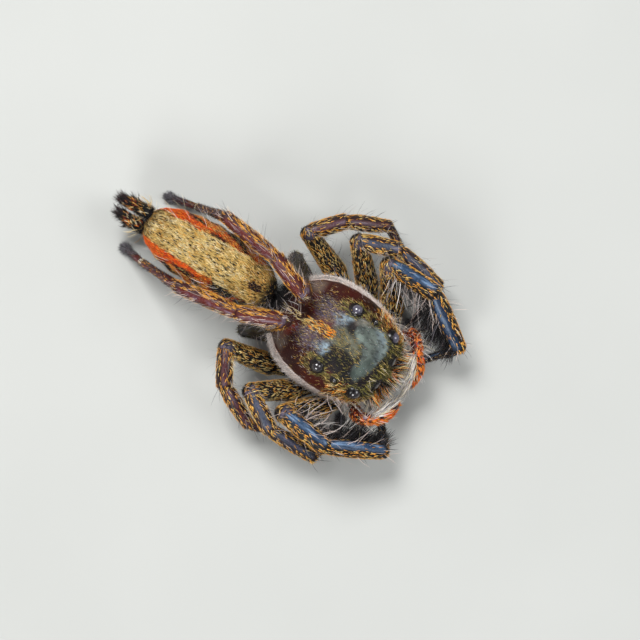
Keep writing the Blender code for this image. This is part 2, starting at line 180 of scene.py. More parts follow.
class Side(Enum):
    """The animal's two sides and the sign of y on each."""

    LEFT = 1
    RIGHT = -1

    @property
    def word(self) -> str:
        """The side's name in piece and node names."""
        return self.name.lower()


class Segment(Enum):
    """The joints of a leg, from the body outwards."""

    COXA = "coxa"
    TROCHANTER = "trochanter"
    FEMUR = "femur"
    PATELLA = "patella"
    TIBIA = "tibia"
    METATARSUS = "metatarsus"
    TARSUS = "tarsus"


COXA, TROCHANTER, FEMUR, PATELLA, TIBIA, METATARSUS, TARSUS = Segment


def unit(vectors: Array) -> Array:
    """The vectors at length one."""
    return vectors / np.maximum(np.linalg.norm(vectors, axis=-1, keepdims=True), 1e-9)


def ease(low: float, high: float, value: Array) -> Array:
    """A smooth step from 0 at low to 1 at high."""
    t = np.clip((value - low) / (high - low), 0.0, 1.0)
    return t * t * (3 - 2 * t)


def within(value: Array, low: float, high: float, soft: float) -> Array:
    """1 between low and high, falling smoothly to 0 over soft on each side."""
    return ease(low - soft, low + soft, value) * (1 - ease(high - soft, high + soft, value))


def off_turn(turn: Array, centre: float) -> Array:
    """How many degrees a turn round a limb lies from a centre, from 0 to 180."""
    return np.abs((turn - centre + 180) % 360 - 180)


def stripe(turn: Array, centre: float, half: float, soft: float = 6.0) -> Array:
    """1 within half of the centre line round a limb, falling smoothly to 0 over soft."""
    return 1 - ease(half - soft, half + soft, off_turn(turn, centre))


def spot(points: Array, centre: Sequence[float], radii: Sequence[float], turn_deg: float = 0.0) -> Array:
    """A soft oval patch seen from above.

    Args:
        points: Places on the skin, in mm.
        centre: The patch's middle, forward and left.
        radii: Its half length and half width.
        turn_deg: How far its length is turned from straight ahead.

    Returns:
        1 in the middle of the patch, 0 outside it.
    """
    turn = math.radians(turn_deg)
    dx, dy = points[..., 0] - centre[0], points[..., 1] - centre[1]
    long = (dx * math.cos(turn) + dy * math.sin(turn)) / radii[0]
    wide = (dy * math.cos(turn) - dx * math.sin(turn)) / radii[1]
    return 1 - ease(0.6, 1.15, np.hypot(long, wide))


def outlined(points: Array, corners: Sequence[tuple[float, float]], soft: float = 0.10) -> Array:
    """A soft patch with an outline of its own, seen from above.

    Args:
        points: Places on the skin, in mm.
        corners: The outline's corners in order, forward and left.
        soft: How far the edge fades, in mm.

    Returns:
        1 inside the outline, 0 outside it.
    """
    inside = np.zeros(len(points), bool)
    nearest = np.full(len(points), 9.0)
    x, y = points[:, 0], points[:, 1]
    for (ax, ay), (bx, by) in zip(corners, (*corners[1:], corners[0])):
        run, rise = bx - ax, by - ay
        crossed = ((ay > y) != (by > y)) & (x < ax + (y - ay) * run / (rise if rise else 1e-9))
        inside ^= crossed
        t = np.clip(((x - ax) * run + (y - ay) * rise) / (run * run + rise * rise), 0, 1)
        nearest = np.minimum(nearest, np.hypot(x - ax - t * run, y - ay - t * rise))
    return ease(-soft, soft, np.where(inside, nearest, -nearest))


def mottle(points: Array, size: float, seed: int) -> Array:
    """Smooth random blotches.

    Args:
        points: Places, in mm.
        size: The blotches' usual size, in mm.
        seed: Picks the pattern.

    Returns:
        Values from 0 to 1, with 0.5 the usual one.
    """
    draw = np.random.default_rng(seed)
    waves = unit(draw.normal(size=(9, 3))) * (math.tau / (2.2 * size)) * draw.uniform(0.6, 1.5, (9, 1))
    phases = draw.uniform(0, math.tau, 9)
    total = np.sin(points @ waves.T + phases).sum(-1)
    return np.clip(0.5 + total / 7.0, 0.0, 1.0)


def tinted(base: Array, mask: Array, paint: Paint) -> Array:
    """The base colours with a paint laid over them where the mask is 1."""
    return base + (paint.rgb - base) * mask[..., None]


def plain(sites: "Sites", paint: Paint) -> Array:
    """One paint at every site."""
    return sites.facing(paint.rgb)


def everywhere(sites: "Sites") -> Array:
    """A mask that is 1 at every site."""
    return sites.level(1.0)


def spline(path: Sequence[Sequence[float]], rows: int) -> Array:
    """Points along a smooth curve through a path, in any number of dimensions.

    Args:
        path: The points to pass through.
        rows: How many points to return.

    Returns:
        An array of rows points.
    """
    path = np.asarray(path, float)
    last = len(path) - 1
    place = np.linspace(0, last, rows)
    i = np.minimum(place.astype(int), last - 1)
    t = (place - i)[:, None]
    a, b, c, d = path[np.maximum(i - 1, 0)], path[i], path[i + 1], path[np.minimum(i + 2, last)]
    return 0.5 * (2 * b + (c - a) * t + (2 * a - 5 * b + 4 * c - d) * t**2 + (3 * b - a - 3 * c + d) * t**3)


@dataclass(frozen=True)
class Place:
    """Where the animal's own frame lies in the row frame, and how far its pieces may reach, in mm."""

    offset: Array
    low: Array
    high: Array

    @classmethod
    def from_frame(cls) -> "Place":
        """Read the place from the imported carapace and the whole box.

        Returns:
            The place, with the box grown by what hair may stand proud.
        """
        low, high = (np.array(corner) / METRES_PER_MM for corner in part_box("carapace"))
        offset = np.array((low[0] - CARAPACE_STATIONS[0][0], (low[1] + high[1]) / 2, 0.0))
        box_low, box_high = (np.array(corner) / METRES_PER_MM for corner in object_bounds())
        grow = (box_high - box_low) * BOX_ALLOWANCE
        least = box_low - grow - offset
        least[2] = FLOOR_CLEARANCE
        return cls(offset, least, box_high + grow - offset)

    def row(self, points: Array) -> Array:
        """Points of the animal's frame in the row frame, in metres."""
        return (points + self.offset) * METRES_PER_MM


class Graph:
    """A material's node tree, with short ways to add and join nodes."""

    def __init__(self, name: str) -> None:
        """Start a material that holds a Principled shader and its output.

        Args:
            name: The material's name.
        """
        self.material = bpy.data.materials.new(name)
        self.material.use_nodes = True
        self.tree = self.material.node_tree
        self.shader = self.tree.nodes["Principled BSDF"]

    def add(self, kind: str, settings: dict | None = None, **inputs: object) -> bpy.types.Node:
        """Add a node.

        Args:
            kind: The node's type.
            settings: Properties of the node itself.
            **inputs: Values or output sockets for its inputs, by name with underscores for spaces.

        Returns:
            The node.
        """
        node = self.tree.nodes.new(kind)
        for name, value in (settings or {}).items():
            setattr(node, name, value)
        for name, value in inputs.items():
            self.feed(node, name.replace("_", " "), value)
        return node

    def feed(self, node: bpy.types.Node, socket: str, value: object) -> None:
        """Set an input of a node to a value, or join it to an output socket."""
        target = node.inputs[socket]
        if isinstance(value, Socket):
            self.tree.links.new(value, target)
        else:
            target.default_value = value

    def dress(self, **inputs: object) -> None:
        """Set or join inputs of the shader, by name with underscores for spaces."""
        for name, value in inputs.items():
            self.feed(self.shader, name.replace("_", " "), value)

    def sum(self, operation: str, first: object, second: object, clamp: bool = False) -> Socket:
        """The result of a two-number sum.

        Args:
            operation: The Math node's operation.
            first: Its first value or socket.
            second: Its second value or socket.
            clamp: Whether the result is held between 0 and 1.

        Returns:
            The node's output.
        """
        node = self.tree.nodes.new("ShaderNodeMath")
        node.operation = operation
        node.use_clamp = clamp
        for i, value in enumerate((first, second)):
            if isinstance(value, Socket):
                self.tree.links.new(value, node.inputs[i])
            else:
                node.inputs[i].default_value = value
        return node.outputs[0]

    def shaded(self, colour: Socket, amount: Socket) -> Socket:
        """A colour scaled by a number.

        Args:
            colour: The colour's socket.
            amount: The number's socket.

        Returns:
            The scaled colour.
        """
        node = self.tree.nodes.new("ShaderNodeVectorMath")
        node.operation = "SCALE"
        self.tree.links.new(colour, node.inputs[0])
        self.tree.links.new(amount, node.inputs["Scale"])
        return node.outputs[0]

    def noise(self, per_mm: float, detail: float = 3.0) -> Socket:
        """Fine noise over the object's own coordinates.

        Args:
            per_mm: How many grains lie in a millimetre.
            detail: How much finer noise is laid over it.

        Returns:
            The noise's factor.
        """
        place = self.add("ShaderNodeTexCoord")
        made = self.add("ShaderNodeTexNoise", Vector=place.outputs["Object"], Scale=per_mm / METRES_PER_MM,
            Detail=detail)
        return made.outputs["Fac"]

    def paint(self, noise: Socket, variation: float) -> None:
        """Give the surface its own tint, lighter or darker by a share that follows a noise.

        Args:
            noise: The noise's socket.
            variation: The share.
        """
        tint = self.add("ShaderNodeAttribute", {"attribute_name": "tint"})
        amount = self.sum("ADD", self.sum("MULTIPLY", noise, 2 * variation), 1 - variation)
        self.dress(Base_Color=self.shaded(tint.outputs["Color"], amount))

    def bump(self, height: Socket, depth_mm: float) -> None:
        """Raise the surface by a height that runs from 0 to 1."""
        made = self.add("ShaderNodeBump", Height=height, Distance=depth_mm * METRES_PER_MM,
            Strength=BUMP_STRENGTH)
        self.tree.links.new(made.outputs["Normal"], self.shader.inputs["Normal"])


@dataclass(frozen=True)
class SkinFinish:
    """Cuticle: its own markings, broken up by fine grain and pits."""

    name: str
    rough: float = 0.42
    gloss_gain: float = 0.30
    grain_per_mm: float = 9.0
    pits_per_mm: float = 26.0
    depth_mm: float = 0.012
    coat: float = 0.0
    variation: float = 0.35
    specular: float = 0.3

    def material(self) -> bpy.types.Material:
        """Build the finish.

        Returns:
            A material that reads the tint and gloss of the skin it is on.
        """
        graph = Graph(self.name)
        gloss = graph.add("ShaderNodeAttribute", {"attribute_name": "gloss"})
        grain = graph.noise(self.grain_per_mm)
        graph.paint(grain, self.variation)
        place = graph.add("ShaderNodeTexCoord")
        pits = graph.add("ShaderNodeTexVoronoi", Vector=place.outputs["Object"],
            Scale=self.pits_per_mm / METRES_PER_MM)
        shine = graph.sum("MULTIPLY", gloss.outputs["Fac"], self.gloss_gain)
        dull = graph.sum("SUBTRACT", self.rough, shine)
        speckle = graph.sum("MULTIPLY", grain, 0.16)
        graph.dress(Roughness=graph.sum("ADD", dull, speckle, clamp=True))
        graph.shader.inputs["Specular IOR Level"].default_value = self.specular
        graph.shader.inputs["Coat Weight"].default_value = self.coat
        graph.shader.inputs["Coat Roughness"].default_value = 0.2
        height = graph.sum("ADD", graph.sum("MULTIPLY", grain, 0.6), pits.outputs["Distance"])
        graph.bump(height, self.depth_mm)
        return graph.material


@dataclass(frozen=True)
class HairFinish:
    """Hair: each strand's own tint, a little lighter and duller in blotches."""

    name: str
    rough: float = 0.46
    variation: float = 0.25
    sheen: float = 0.02
    specular: float = 0.24
    blotches_per_mm: float = 3.0

    def material(self) -> bpy.types.Material:
        """Build the finish.

        Returns:
            A material that reads the tint of each strand.
        """
        graph = Graph(self.name)
        noise = graph.noise(self.blotches_per_mm)
        graph.paint(noise, self.variation)
        graph.dress(Roughness=graph.sum("ADD", graph.sum("MULTIPLY", noise, 0.2), self.rough - 0.1))
        graph.shader.inputs["Specular IOR Level"].default_value = self.specular
        graph.shader.inputs["Sheen Weight"].default_value = self.sheen
        graph.shader.inputs["Sheen Roughness"].default_value = 0.4
        return graph.material


@dataclass(frozen=True)
class LensFinish:
    """The clear, wet-looking cornea of an eye over its dark cup."""

    name: str
    variation: float = 0.15

    def material(self) -> bpy.types.Material:
        """Build the finish.

        Returns:
            A glossy material that reads the lens's own tint.
        """
        graph = Graph(self.name)
        smear = graph.noise(5.0, 1.0)
        graph.paint(smear, self.variation)
        graph.dress(Roughness=graph.sum("MULTIPLY", smear, 0.12))
        graph.shader.inputs["IOR"].default_value = 1.5
        graph.shader.inputs["Coat Weight"].default_value = 0.8
        graph.shader.inputs["Coat Roughness"].default_value = 0.03
        return graph.material


@dataclass(frozen=True)
class FloorFinish:
    """The plain pale ground the animal stands on."""

    name: str = "pale_ground"

    def material(self) -> bpy.types.Material:
        """Build the finish.

        Returns:
            A matte pale material.
        """
        graph = Graph(self.name)
        tone = graph.add("ShaderNodeValToRGB", Fac=graph.noise(0.08))
        tone.color_ramp.elements[0].color = (0.40, 0.41, 0.395, 1)
        tone.color_ramp.elements[1].color = (0.45, 0.46, 0.445, 1)
        graph.dress(Base_Color=tone.outputs["Color"], Roughness=0.8)
        return graph.material


@dataclass
class Sites:
    """Places on the skin, with what the coat and the markings need to know of each.

    point and local are the place where it lies and where it was drawn, out the skin's outward
    direction, along its run towards the far end, share the way along it from 0 to 1, and turn the
    degrees round it: 0 on the outer side, 90 on the back, 180 on the inner side, 270 underneath.
    """

    point: Array
    local: Array
    out: Array
    along: Array
    share: Array
    turn: Array

    def level(self, value: float) -> Array:
        """One value at every site."""
        return np.full(len(self.share), value)

    def facing(self, way: Array) -> Array:
        """One direction at every site."""
        return np.tile(way, (len(self.share), 1))

    def kept(self, mask: Array) -> "Sites":
        """Only the sites where the mask is true."""
        names = ("point", "local", "out", "along", "share", "turn")
        return Sites(*(getattr(self, name)[mask] for name in names))


@dataclass
class Hide:
    """A closed stretch of skin: rings of points from its root end to its far end, in mm."""

    name: str
    rings: Array
    shares: Array
    turns: Array
    local: Array = field(default=None)

    def __post_init__(self) -> None:
        """Keep the places as drawn, which the markings follow."""
        if self.local is None:
            self.local = self.rings.copy()

    def mirrored(self) -> "Hide":
        """The same stretch on the animal's other side."""
        return Hide(self.name, self.rings * (1, -1, 1), self.shares, self.turns, self.local)

    def carried(self, matrix: Matrix) -> "Hide":
        """The same stretch moved as a whole, its markings with it."""
        change = np.array(matrix)
        return Hide(self.name, self.rings @ change[:3, :3].T + change[:3, 3], self.shares, self.turns,
            self.local)

    def directions(self) -> tuple[Array, Array]:
        """Directions at each point.

        Returns:
            The outward directions and the directions along the stretch.
        """
        along = unit(np.gradient(self.rings, axis=0))
        across = np.roll(self.rings, -1, 1) - np.roll(self.rings, 1, 1)
        out = unit(np.cross(across, along))
        middle = self.rings.mean(1, keepdims=True)
        if ((self.rings - middle) * out).sum() < 0:
            out = -out
        return out, along

    def vertices(self) -> Sites:
        """Every point of the stretch as a site.

        Returns:
            One site for each point.
        """
        out, along = self.directions()
        rows, around = self.rings.shape[:2]
        return Sites(self.rings.reshape(-1, 3), self.local.reshape(-1, 3), out.reshape(-1, 3),
            along.reshape(-1, 3), np.repeat(self.shares, around), np.tile(self.turns, rows))

    def scatter(self, per_mm2: float, draw: np.random.Generator) -> Sites:
        """Sites spread evenly at random over the stretch.

        Args:
            per_mm2: How many lie on a square millimetre.
            draw: The source of chance.

        Returns:
            The sites.
        """
        def wrapped(grid: Array) -> Array:
            """A grid with its first column again after its last."""
            return np.concatenate((grid, grid[:, :1]), axis=1)

        rings, local = wrapped(self.rings), wrapped(self.local)
        out, along = (wrapped(grid) for grid in self.directions())
        turns = np.append(self.turns, self.turns[0] + 360)
        side, run = rings[:-1, 1:] - rings[:-1, :-1], rings[1:, :-1] - rings[:-1, :-1]
        area = np.linalg.norm(np.cross(side, run), axis=-1)
        count = int(area.sum() * per_mm2)
        cell = draw.choice(area.size, count, p=area.ravel() / area.sum())
        i, j = np.divmod(cell, area.shape[1])
        s, t = draw.random(count), draw.random(count)

        def between(grid: Array) -> Array:
            """A grid's value at each site.

            Args:
                grid: Values at the points of the rings.

            Returns:
                One value for each site.
            """
            near = grid[i, j] * (1 - t)[:, None] + grid[i, j + 1] * t[:, None]
            far = grid[i + 1, j] * (1 - t)[:, None] + grid[i + 1, j + 1] * t[:, None]
            return near * (1 - s)[:, None] + far * s[:, None]

        share = self.shares[i] * (1 - s) + self.shares[i + 1] * s
        turn = (turns[j] * (1 - t) + turns[j + 1] * t) % 360
        return Sites(between(rings), between(local), unit(between(out)), unit(between(along)), share, turn)


def limb(name: str, path: Sequence[Array], radii: Sequence[float], rows: int = 40, around: int = 28,
         depth: float = 1.0) -> Hide:
    """A round-ended stretch of skin along a smooth path.

    Args:
        name: The stretch's name.
        path: Points that its middle passes through.
        radii: Its half thickness at evenly spaced places from end to end.
        rows: How many rings it has between its rounded ends.
        around: How many points each ring has.
        depth: How much deeper than wide it is.

    Returns:
        The stretch of skin.
    """
    centres = spline(path, rows)
    sizes = np.interp(np.linspace(0, 1, rows), np.linspace(0, 1, len(radii)), radii)
    smooth = np.convolve(np.pad(sizes, 3, mode="edge"), np.ones(7) / 7, mode="valid")
    tangents = unit(np.gradient(centres, axis=0))
    caps = np.radians((80, 62, 44, 24))
    before = centres[0] - tangents[0] * (np.sin(caps) * smooth[0] * CAP_REACH)[:, None]
    after = centres[-1] + tangents[-1] * (np.sin(caps[::-1]) * smooth[-1] * CAP_REACH)[:, None]
    middle = np.concatenate((before, centres, after))
    size = np.concatenate((np.cos(caps) * smooth[0], smooth, np.cos(caps[::-1]) * smooth[-1]))
    tangents = np.concatenate((np.tile(tangents[0], (4, 1)), tangents, np.tile(tangents[-1], (4, 1))))
    side = unit(np.cross(UP, tangents))
    rise = np.cross(tangents, side)
    turns = np.arange(around) * 360 / around
    angle = np.radians(turns)[None, :, None]
    thick = size[:, None, None]
    rings = middle[:, None] + side[:, None] * thick * np.cos(angle)
    rings = rings + rise[:, None] * thick * depth * np.sin(angle)
    shares = np.concatenate((np.zeros(4), np.linspace(0, 1, rows), np.ones(4)))
    return Hide(name, rings, shares, turns)


def turned_form(name: str, centre: Array, axis: Array, profile: Iterable[tuple[float, float]],
                around: int = 40) -> Hide:
    """A form turned about an axis.

    Args:
        name: The form's name.
        centre: The point that the profile's heights are measured from.
        axis: The direction of the axis.
        profile: Height along the axis and radius, one pair for each ring.
        around: How many points each ring has.

    Returns:
        The form as a stretch of skin.
    """
    axis = unit(np.asarray(axis, float))
    helper = UP if abs(axis[2]) < 0.9 else np.array((0.0, 1.0, 0.0))
    side = unit(np.cross(helper, axis))
    rise = np.cross(axis, side)
    turns = np.arange(around) * 360 / around
    angle = np.radians(turns)[:, None]
    spokes = side * np.cos(angle) + rise * np.sin(angle)
    rings = [centre + axis * height + radius * spokes for height, radius in profile]
    return Hide(name, np.array(rings), np.linspace(0, 1, len(rings)), turns)


def on_side(hides: list[Hide], side: Side) -> list[Hide]:
    """Stretches drawn on the left, as they are or mirrored to the right."""
    return hides if side is Side.LEFT else [hide.mirrored() for hide in hides]


@dataclass(frozen=True)
class Layer:
    """One kind of hair: the names of its paints, how thickly it grows and how it lies."""

    paints: str
    per_mm2: float
    length: tuple[float, float]
    width: float = 0.03
    lift: float = 9.0
    droop: float = 6.0
    scatter: float = 10.0
    steps: int = 2
    where: Field = everywhere
    flow: Field | None = None
    above: float = 0.0
    wave: float = 0.0
    # How bright a hair's root is against its tip: a painted shade deep in the coat
    root: float = 0.5

    @property
    def colours(self) -> Array:
        """The paints as linear colours, one row for each."""
        return np.array([Paint[name.upper()].rgb for name in self.paints.split()])


@dataclass
class Strands:
    """Hairs of one layer on one stretch of skin, before they are made solid."""

    sites: Sites
    first: Array
    last: Array
    length: Array
    width: Array
    tint: Array
    patch: Array
    phase: Array
    layer: Layer


class Coat:
    """Hair gathered from stretches of skin and made into one piece."""

    # A hair's patch in the unwrap, how deep its root goes, and how thick, tapered and bright it is; each hair
    # is painted darker towards its root, a painted shade, and lightest at its tip
    PATCH = 0.0014
    CELL_MARGIN = 0.03
    SINK = 0.03
    SINK_SHARE = 0.07
    THICKNESS = 0.5
    TAPER = 0.55
    TIP_TONE = 1.1
    # The radians of a wave along a hair, and how often and how far a hair past the limits is cut
    WAVE_TURN = 4.5
    CUTS = 6
    CUT_SHARE = 0.75
    # How far hairs of a layer differ, as shares of what it says
    TINT_SPREAD = (0.62, 1.3)
    ANGLE_SPREAD = (0.5, 1.5)
    WIDTH_SPREAD = (0.75, 1.25)

    def __init__(self, name: str, slot: str, finish: HairFinish, hides: Sequence[Hide], seed: int,
                 flow: Field | None = None) -> None:
        """Lay out the stretches that the hair grows on.

        Args:
            name: The piece's name.
            slot: A material slot's name, kept on the coat but not used.
            finish: Its look.
            hides: The stretches of skin, each with a cell of its own in the unwrap.
            seed: The source of chance.
            flow: The way that its hair lies, if not along the stretch.
        """
        self.name, self.slot, self.finish = name, slot, finish
        self.hides = list(hides)
        self.cells = math.ceil(math.sqrt(len(self.hides)))
        self.draw = np.random.default_rng(seed)
        self.flow = flow
        self.strands: list[Strands] = []

    def grow(self, *layers: Layer, only: Sequence[Hide] | None = None) -> None:
        """Grow layers of hair, one after the other.

        Args:
            *layers: The kinds of hair.
            only: The stretches that they grow on, if not all of them.
        """
        for layer in layers:
            for index, hide in enumerate(self.hides):
                if only is not None and not any(hide is one for one in only):
                    continue
                sites = hide.scatter(layer.per_mm2, self.draw)
                sites = sites.kept(self.draw.random(len(sites.share)) < layer.where(sites))
                if len(sites.share):
                    self.strands.append(self.comb(sites, layer, index))

    def comb(self, sites: Sites, layer: Layer, index: int) -> Strands:
        """Give each hair its lie, length, tint and place in the unwrap.

        Args:
            sites: The roots.
            layer: The kind of hair.
            index: Which stretch of skin it is on.

        Returns:
            The hairs.
        """
        count, draw = len(sites.share), self.draw
        way = layer.flow or self.flow
        flow = sites.along if way is None else way(sites)
        flow = unit(flow - sites.out * (flow * sites.out).sum(1, keepdims=True))
        across = np.cross(sites.out, flow)
        swing = np.radians(draw.normal(0, layer.scatter, count))[:, None]
        flow = flow * np.cos(swing) + across * np.sin(swing)
        lift = np.radians(layer.lift * draw.uniform(*self.ANGLE_SPREAD, count))[:, None]
        after = lift - np.radians(layer.droop * draw.uniform(*self.ANGLE_SPREAD, count))[:, None]
        first = flow * np.cos(lift) + sites.out * np.sin(lift)
        last = unit(flow * np.cos(after) + sites.out * np.sin(after))
        colours = layer.colours
        tint = colours[draw.integers(0, len(colours), count)] * draw.uniform(*self.TINT_SPREAD, (count, 1))
        row, column = divmod(index, self.cells)
        edge, inside = self.CELL_MARGIN, 1 - 2 * self.CELL_MARGIN
        patch = np.stack(((column + edge + inside * sites.turn / 360) / self.cells,
            (row + edge + inside * sites.share) / self.cells), axis=1)
        length = draw.uniform(*layer.length, count)
        return Strands(sites, first, last, length, layer.width * draw.uniform(*self.WIDTH_SPREAD, count),
            tint, patch, draw.uniform(0, math.tau, count), layer)

    def spun(self, strands: Strands, place: Place) -> tuple[Array, Array, Array, Array]:
        """Make hairs solid: three-sided, tapered and closed.

        Args:
            strands: The hairs.
            place: The limits that they stay within.

        Returns:
            Points, triangles, the tint of each point and its place in the unwrap.
        """
        layer, count = strands.layer, len(strands.length)
        steps = layer.steps
        shares = (np.arange(steps) + 0.5) / steps
        ways = strands.first[None] + (strands.last - strands.first)[None] * shares[:, None, None]
        sideways = np.cross(strands.sites.out, strands.first)[None]
        waves = np.sin(strands.phase[None] + self.WAVE_TURN * shares[:, None])
        swing = waves * math.tan(math.radians(layer.wave))
        ways = unit(ways + sideways * swing[..., None])
        sunk = np.minimum(self.SINK, self.SINK_SHARE * strands.length)[:, None]
        start = strands.sites.point + strands.sites.out * (layer.above - sunk)
        length = strands.length.copy()
        for _ in range(self.CUTS):
            tip = start + ways.sum(0) * (length / steps)[:, None]
            over = ((tip < place.low) | (tip > place.high)).any(1)
            length[over] *= self.CUT_SHARE
        reach = ways * (length / steps)[None, :, None]
        line = np.concatenate((start[None], start + np.cumsum(reach, axis=0)))
        points = np.empty((count, 3 * steps + 1, 3))
        tints = np.empty((count, 3 * steps + 1, 3))
        patches = np.empty((count, 3 * steps + 1, 2))
        for i in range(steps):
            across = unit(np.cross(ways[i], strands.sites.out))
            over = np.cross(across, ways[i])
            full = (strands.width * 0.5 * (1 - self.TAPER * (i / steps) ** 1.5))[:, None]
            for k, offset in enumerate((over * self.THICKNESS, across, -across)):
                points[:, 3 * i + k] = line[i] + offset * full
                step = np.array(((0, 1, -1)[k], 2 * i / steps - 1))
                patches[:, 3 * i + k] = strands.patch + step * self.PATCH
            # Painted shade: each ring is darker the nearer it lies to the root
            tone = layer.root + (1 - layer.root) * i / steps
            tints[:, 3 * i:3 * i + 3] = (strands.tint * tone)[:, None]
        points[:, -1], tints[:, -1] = line[-1], strands.tint * self.TIP_TONE
        patches[:, -1] = strands.patch + np.array((0, self.PATCH))
        faces = [(0, 2, 1)]
        for i in range(steps - 1):
            for k in range(3):
                a, b = 3 * i + k, 3 * i + (k + 1) % 3
                faces += [(a, b, b + 3), (a, b + 3, a + 3)]
        faces += [(3 * steps - 3 + k, 3 * steps - 3 + (k + 1) % 3, 3 * steps) for k in range(3)]
        starts = np.arange(count)[:, None, None] * (3 * steps + 1)
        triangles = (np.array(faces)[None] + starts).reshape(-1, 3)
        points = np.clip(points.reshape(-1, 3), place.low, place.high)
        return points, triangles, tints.reshape(-1, 3), patches.reshape(-1, 2)

    def build(self, place: Place) -> bpy.types.Object:
        """Make the piece.

        Args:
            place: Where the animal lies in the row frame.

        Returns:
            The coat as one object.
        """
        made, faces, start = [], [], 0
        for strands in self.strands:
            parts = self.spun(strands, place)
            made.append(parts)
            faces.append(parts[1] + start)
            start += len(parts[0])
        points, tints, patches = (np.concatenate([parts[k] for parts in made]) for k in (0, 2, 3))
        triangles = np.concatenate(faces)
        mesh = bpy.data.meshes.new(self.name)
        mesh.vertices.add(len(points))
        mesh.vertices.foreach_set("co", place.row(points).astype(np.float32).ravel())
        mesh.loops.add(triangles.size)
        mesh.loops.foreach_set("vertex_index", triangles.astype(np.int32).ravel())
        mesh.polygons.add(len(triangles))
        mesh.polygons.foreach_set("loop_start", np.arange(len(triangles), dtype=np.int32) * 3)
        mesh.update(calc_edges=True)
        mesh.shade_smooth()
        write_tint(mesh, tints)
        unwrap = mesh.uv_layers.new(name="OFBake")
        unwrap.data.foreach_set("uv", np.clip(patches[triangles.ravel()], 0, 1).astype(np.float32).ravel())
        mesh.materials.append(self.finish.material())
        return piece(self.name, mesh)


def write_tint(mesh: bpy.types.Mesh, tints: Array) -> None:
    """Store a colour for each point of a mesh.

    Args:
        mesh: The mesh.
        tints: Linear red, green and blue, one row for each point.
    """
    colours = np.ones((len(tints), 4), np.float32)
    colours[:, :3] = np.clip(tints, 0, 1)
    mesh.attributes.new("tint", "FLOAT_COLOR", "POINT").data.foreach_set("color", colours.ravel())


def write_gloss(mesh: bpy.types.Mesh, gloss: Array) -> None:
    """Store how shiny each point of a mesh is, from 0 to 1."""
    mesh.attributes.new("gloss", "FLOAT", "POINT").data.foreach_set("value", gloss.astype(np.float32))


def placed(name: str, data: bpy.types.ID) -> bpy.types.Object:
    """Put a mesh, a light or a camera in the scene as an object.

    Args:
        name: Its name.
        data: What it shows.

    Returns:
        The object.
    """
    ob = bpy.data.objects.new(name, data)
    bpy.context.scene.collection.objects.link(ob)
    return ob


def piece(name: str, mesh: bpy.types.Mesh) -> bpy.types.Object:
    """Put a mesh in the scene as a piece of the animal.

    Args:
        name: The piece's name.
        mesh: Its mesh, in the row frame.

    Returns:
        The piece, riding on the body.
    """
    ob = placed(name, mesh)
    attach(ob, BODY)
    log.info("%s: %d faces", name, len(mesh.polygons))
    return ob


def solid_mesh(name: str, hides: Sequence[Hide], place: Place) -> tuple[bpy.types.Mesh, list[int]]:
    """Make stretches of skin into one mesh, each closed at both ends.

    Args:
        name: The mesh's name.
        hides: The stretches.
        place: Where the animal lies in the row frame.

    Returns:
        The mesh, and how many faces each stretch has.
    """
    points, faces, counts, start = [], [], [], 0
    for hide in hides:
        rows, around = hide.rings.shape[:2]
        number = start + np.arange(rows * around).reshape(rows, around)
        following = np.roll(number, -1, 1)
        quads = np.stack((number[:-1], following[:-1], following[1:], number[1:]), -1).reshape(-1, 4)
        rooted, far = start + rows * around, start + rows * around + 1
        fans = [(rooted, b, a) for a, b in zip(number[0], following[0])]
        fans += [(far, a, b) for a, b in zip(number[-1], following[-1])]
        made = quads.tolist() + fans
        out, _ = hide.directions()
        a, b, c = hide.rings[1, 0], hide.rings[1, 1], hide.rings[2, 1]
        if np.dot(np.cross(b - a, c - b), out[1, 0]) < 0:
            made = [tuple(reversed(face)) for face in made]
        faces += made
        counts.append(len(made))
        points += [hide.rings.reshape(-1, 3), hide.rings[:1].mean(1), hide.rings[-1:].mean(1)]
        start += rows * around + 2
    mesh = bpy.data.meshes.new(name)
    every = np.concatenate(points)
    every[:, 2] = np.maximum(every[:, 2], 0.0)
    mesh.from_pydata(place.row(every).tolist(), [], [tuple(map(int, face)) for face in faces])
    mesh.shade_smooth()
    return mesh, counts


@dataclass
class Marked:
    """A stretch of skin with its markings and finish."""

    hide: Hide
    marks: Marks
    finish: SkinFinish


class Skin:
    """The whole skin, gathered stretch by stretch and made into one piece."""

    def __init__(self) -> None:
        """Start with no skin."""
        self.parts: list[Marked] = []

    def add(self, hide: Hide, marks: Marks, finish: SkinFinish) -> Hide:
        """Add a stretch.

        Args:
            hide: The stretch.
            marks: Gives the tint and gloss at sites on it.
            finish: Its look.

        Returns:
            The stretch, for the coat to grow on.
        """
        self.parts.append(Marked(hide, marks, finish))
        return hide

    def build(self, place: Place, nodes: Sequence[str]) -> bpy.types.Object:
        """Make the skin.

        Args:
            place: Where the animal lies in the row frame.
            nodes: The solids that it stands for.

        Returns:
            The skin as one object.
        """
        mesh, counts = solid_mesh("skin", [part.hide for part in self.parts], place)
        finishes = list(dict.fromkeys(part.finish for part in self.parts))
        tints, glosses, slots = [], [], []
        for part, count in zip(self.parts, counts):
            tint, gloss = part.marks(part.hide.vertices())
            around = part.hide.rings.shape[1]
            tints += [tint, tint[:around].mean(0, keepdims=True), tint[-around:].mean(0, keepdims=True)]
            glosses += [gloss, gloss[:1], gloss[-1:]]
            slots.append(np.full(count, finishes.index(part.finish)))
        write_tint(mesh, np.concatenate(tints))
        write_gloss(mesh, np.concatenate(glosses))
        for finish in finishes:
            mesh.materials.append(finish.material())
        mesh.polygons.foreach_set("material_index", np.concatenate(slots).astype(np.int32))
        made = piece("skin", mesh)
        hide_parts(*nodes)
        return made


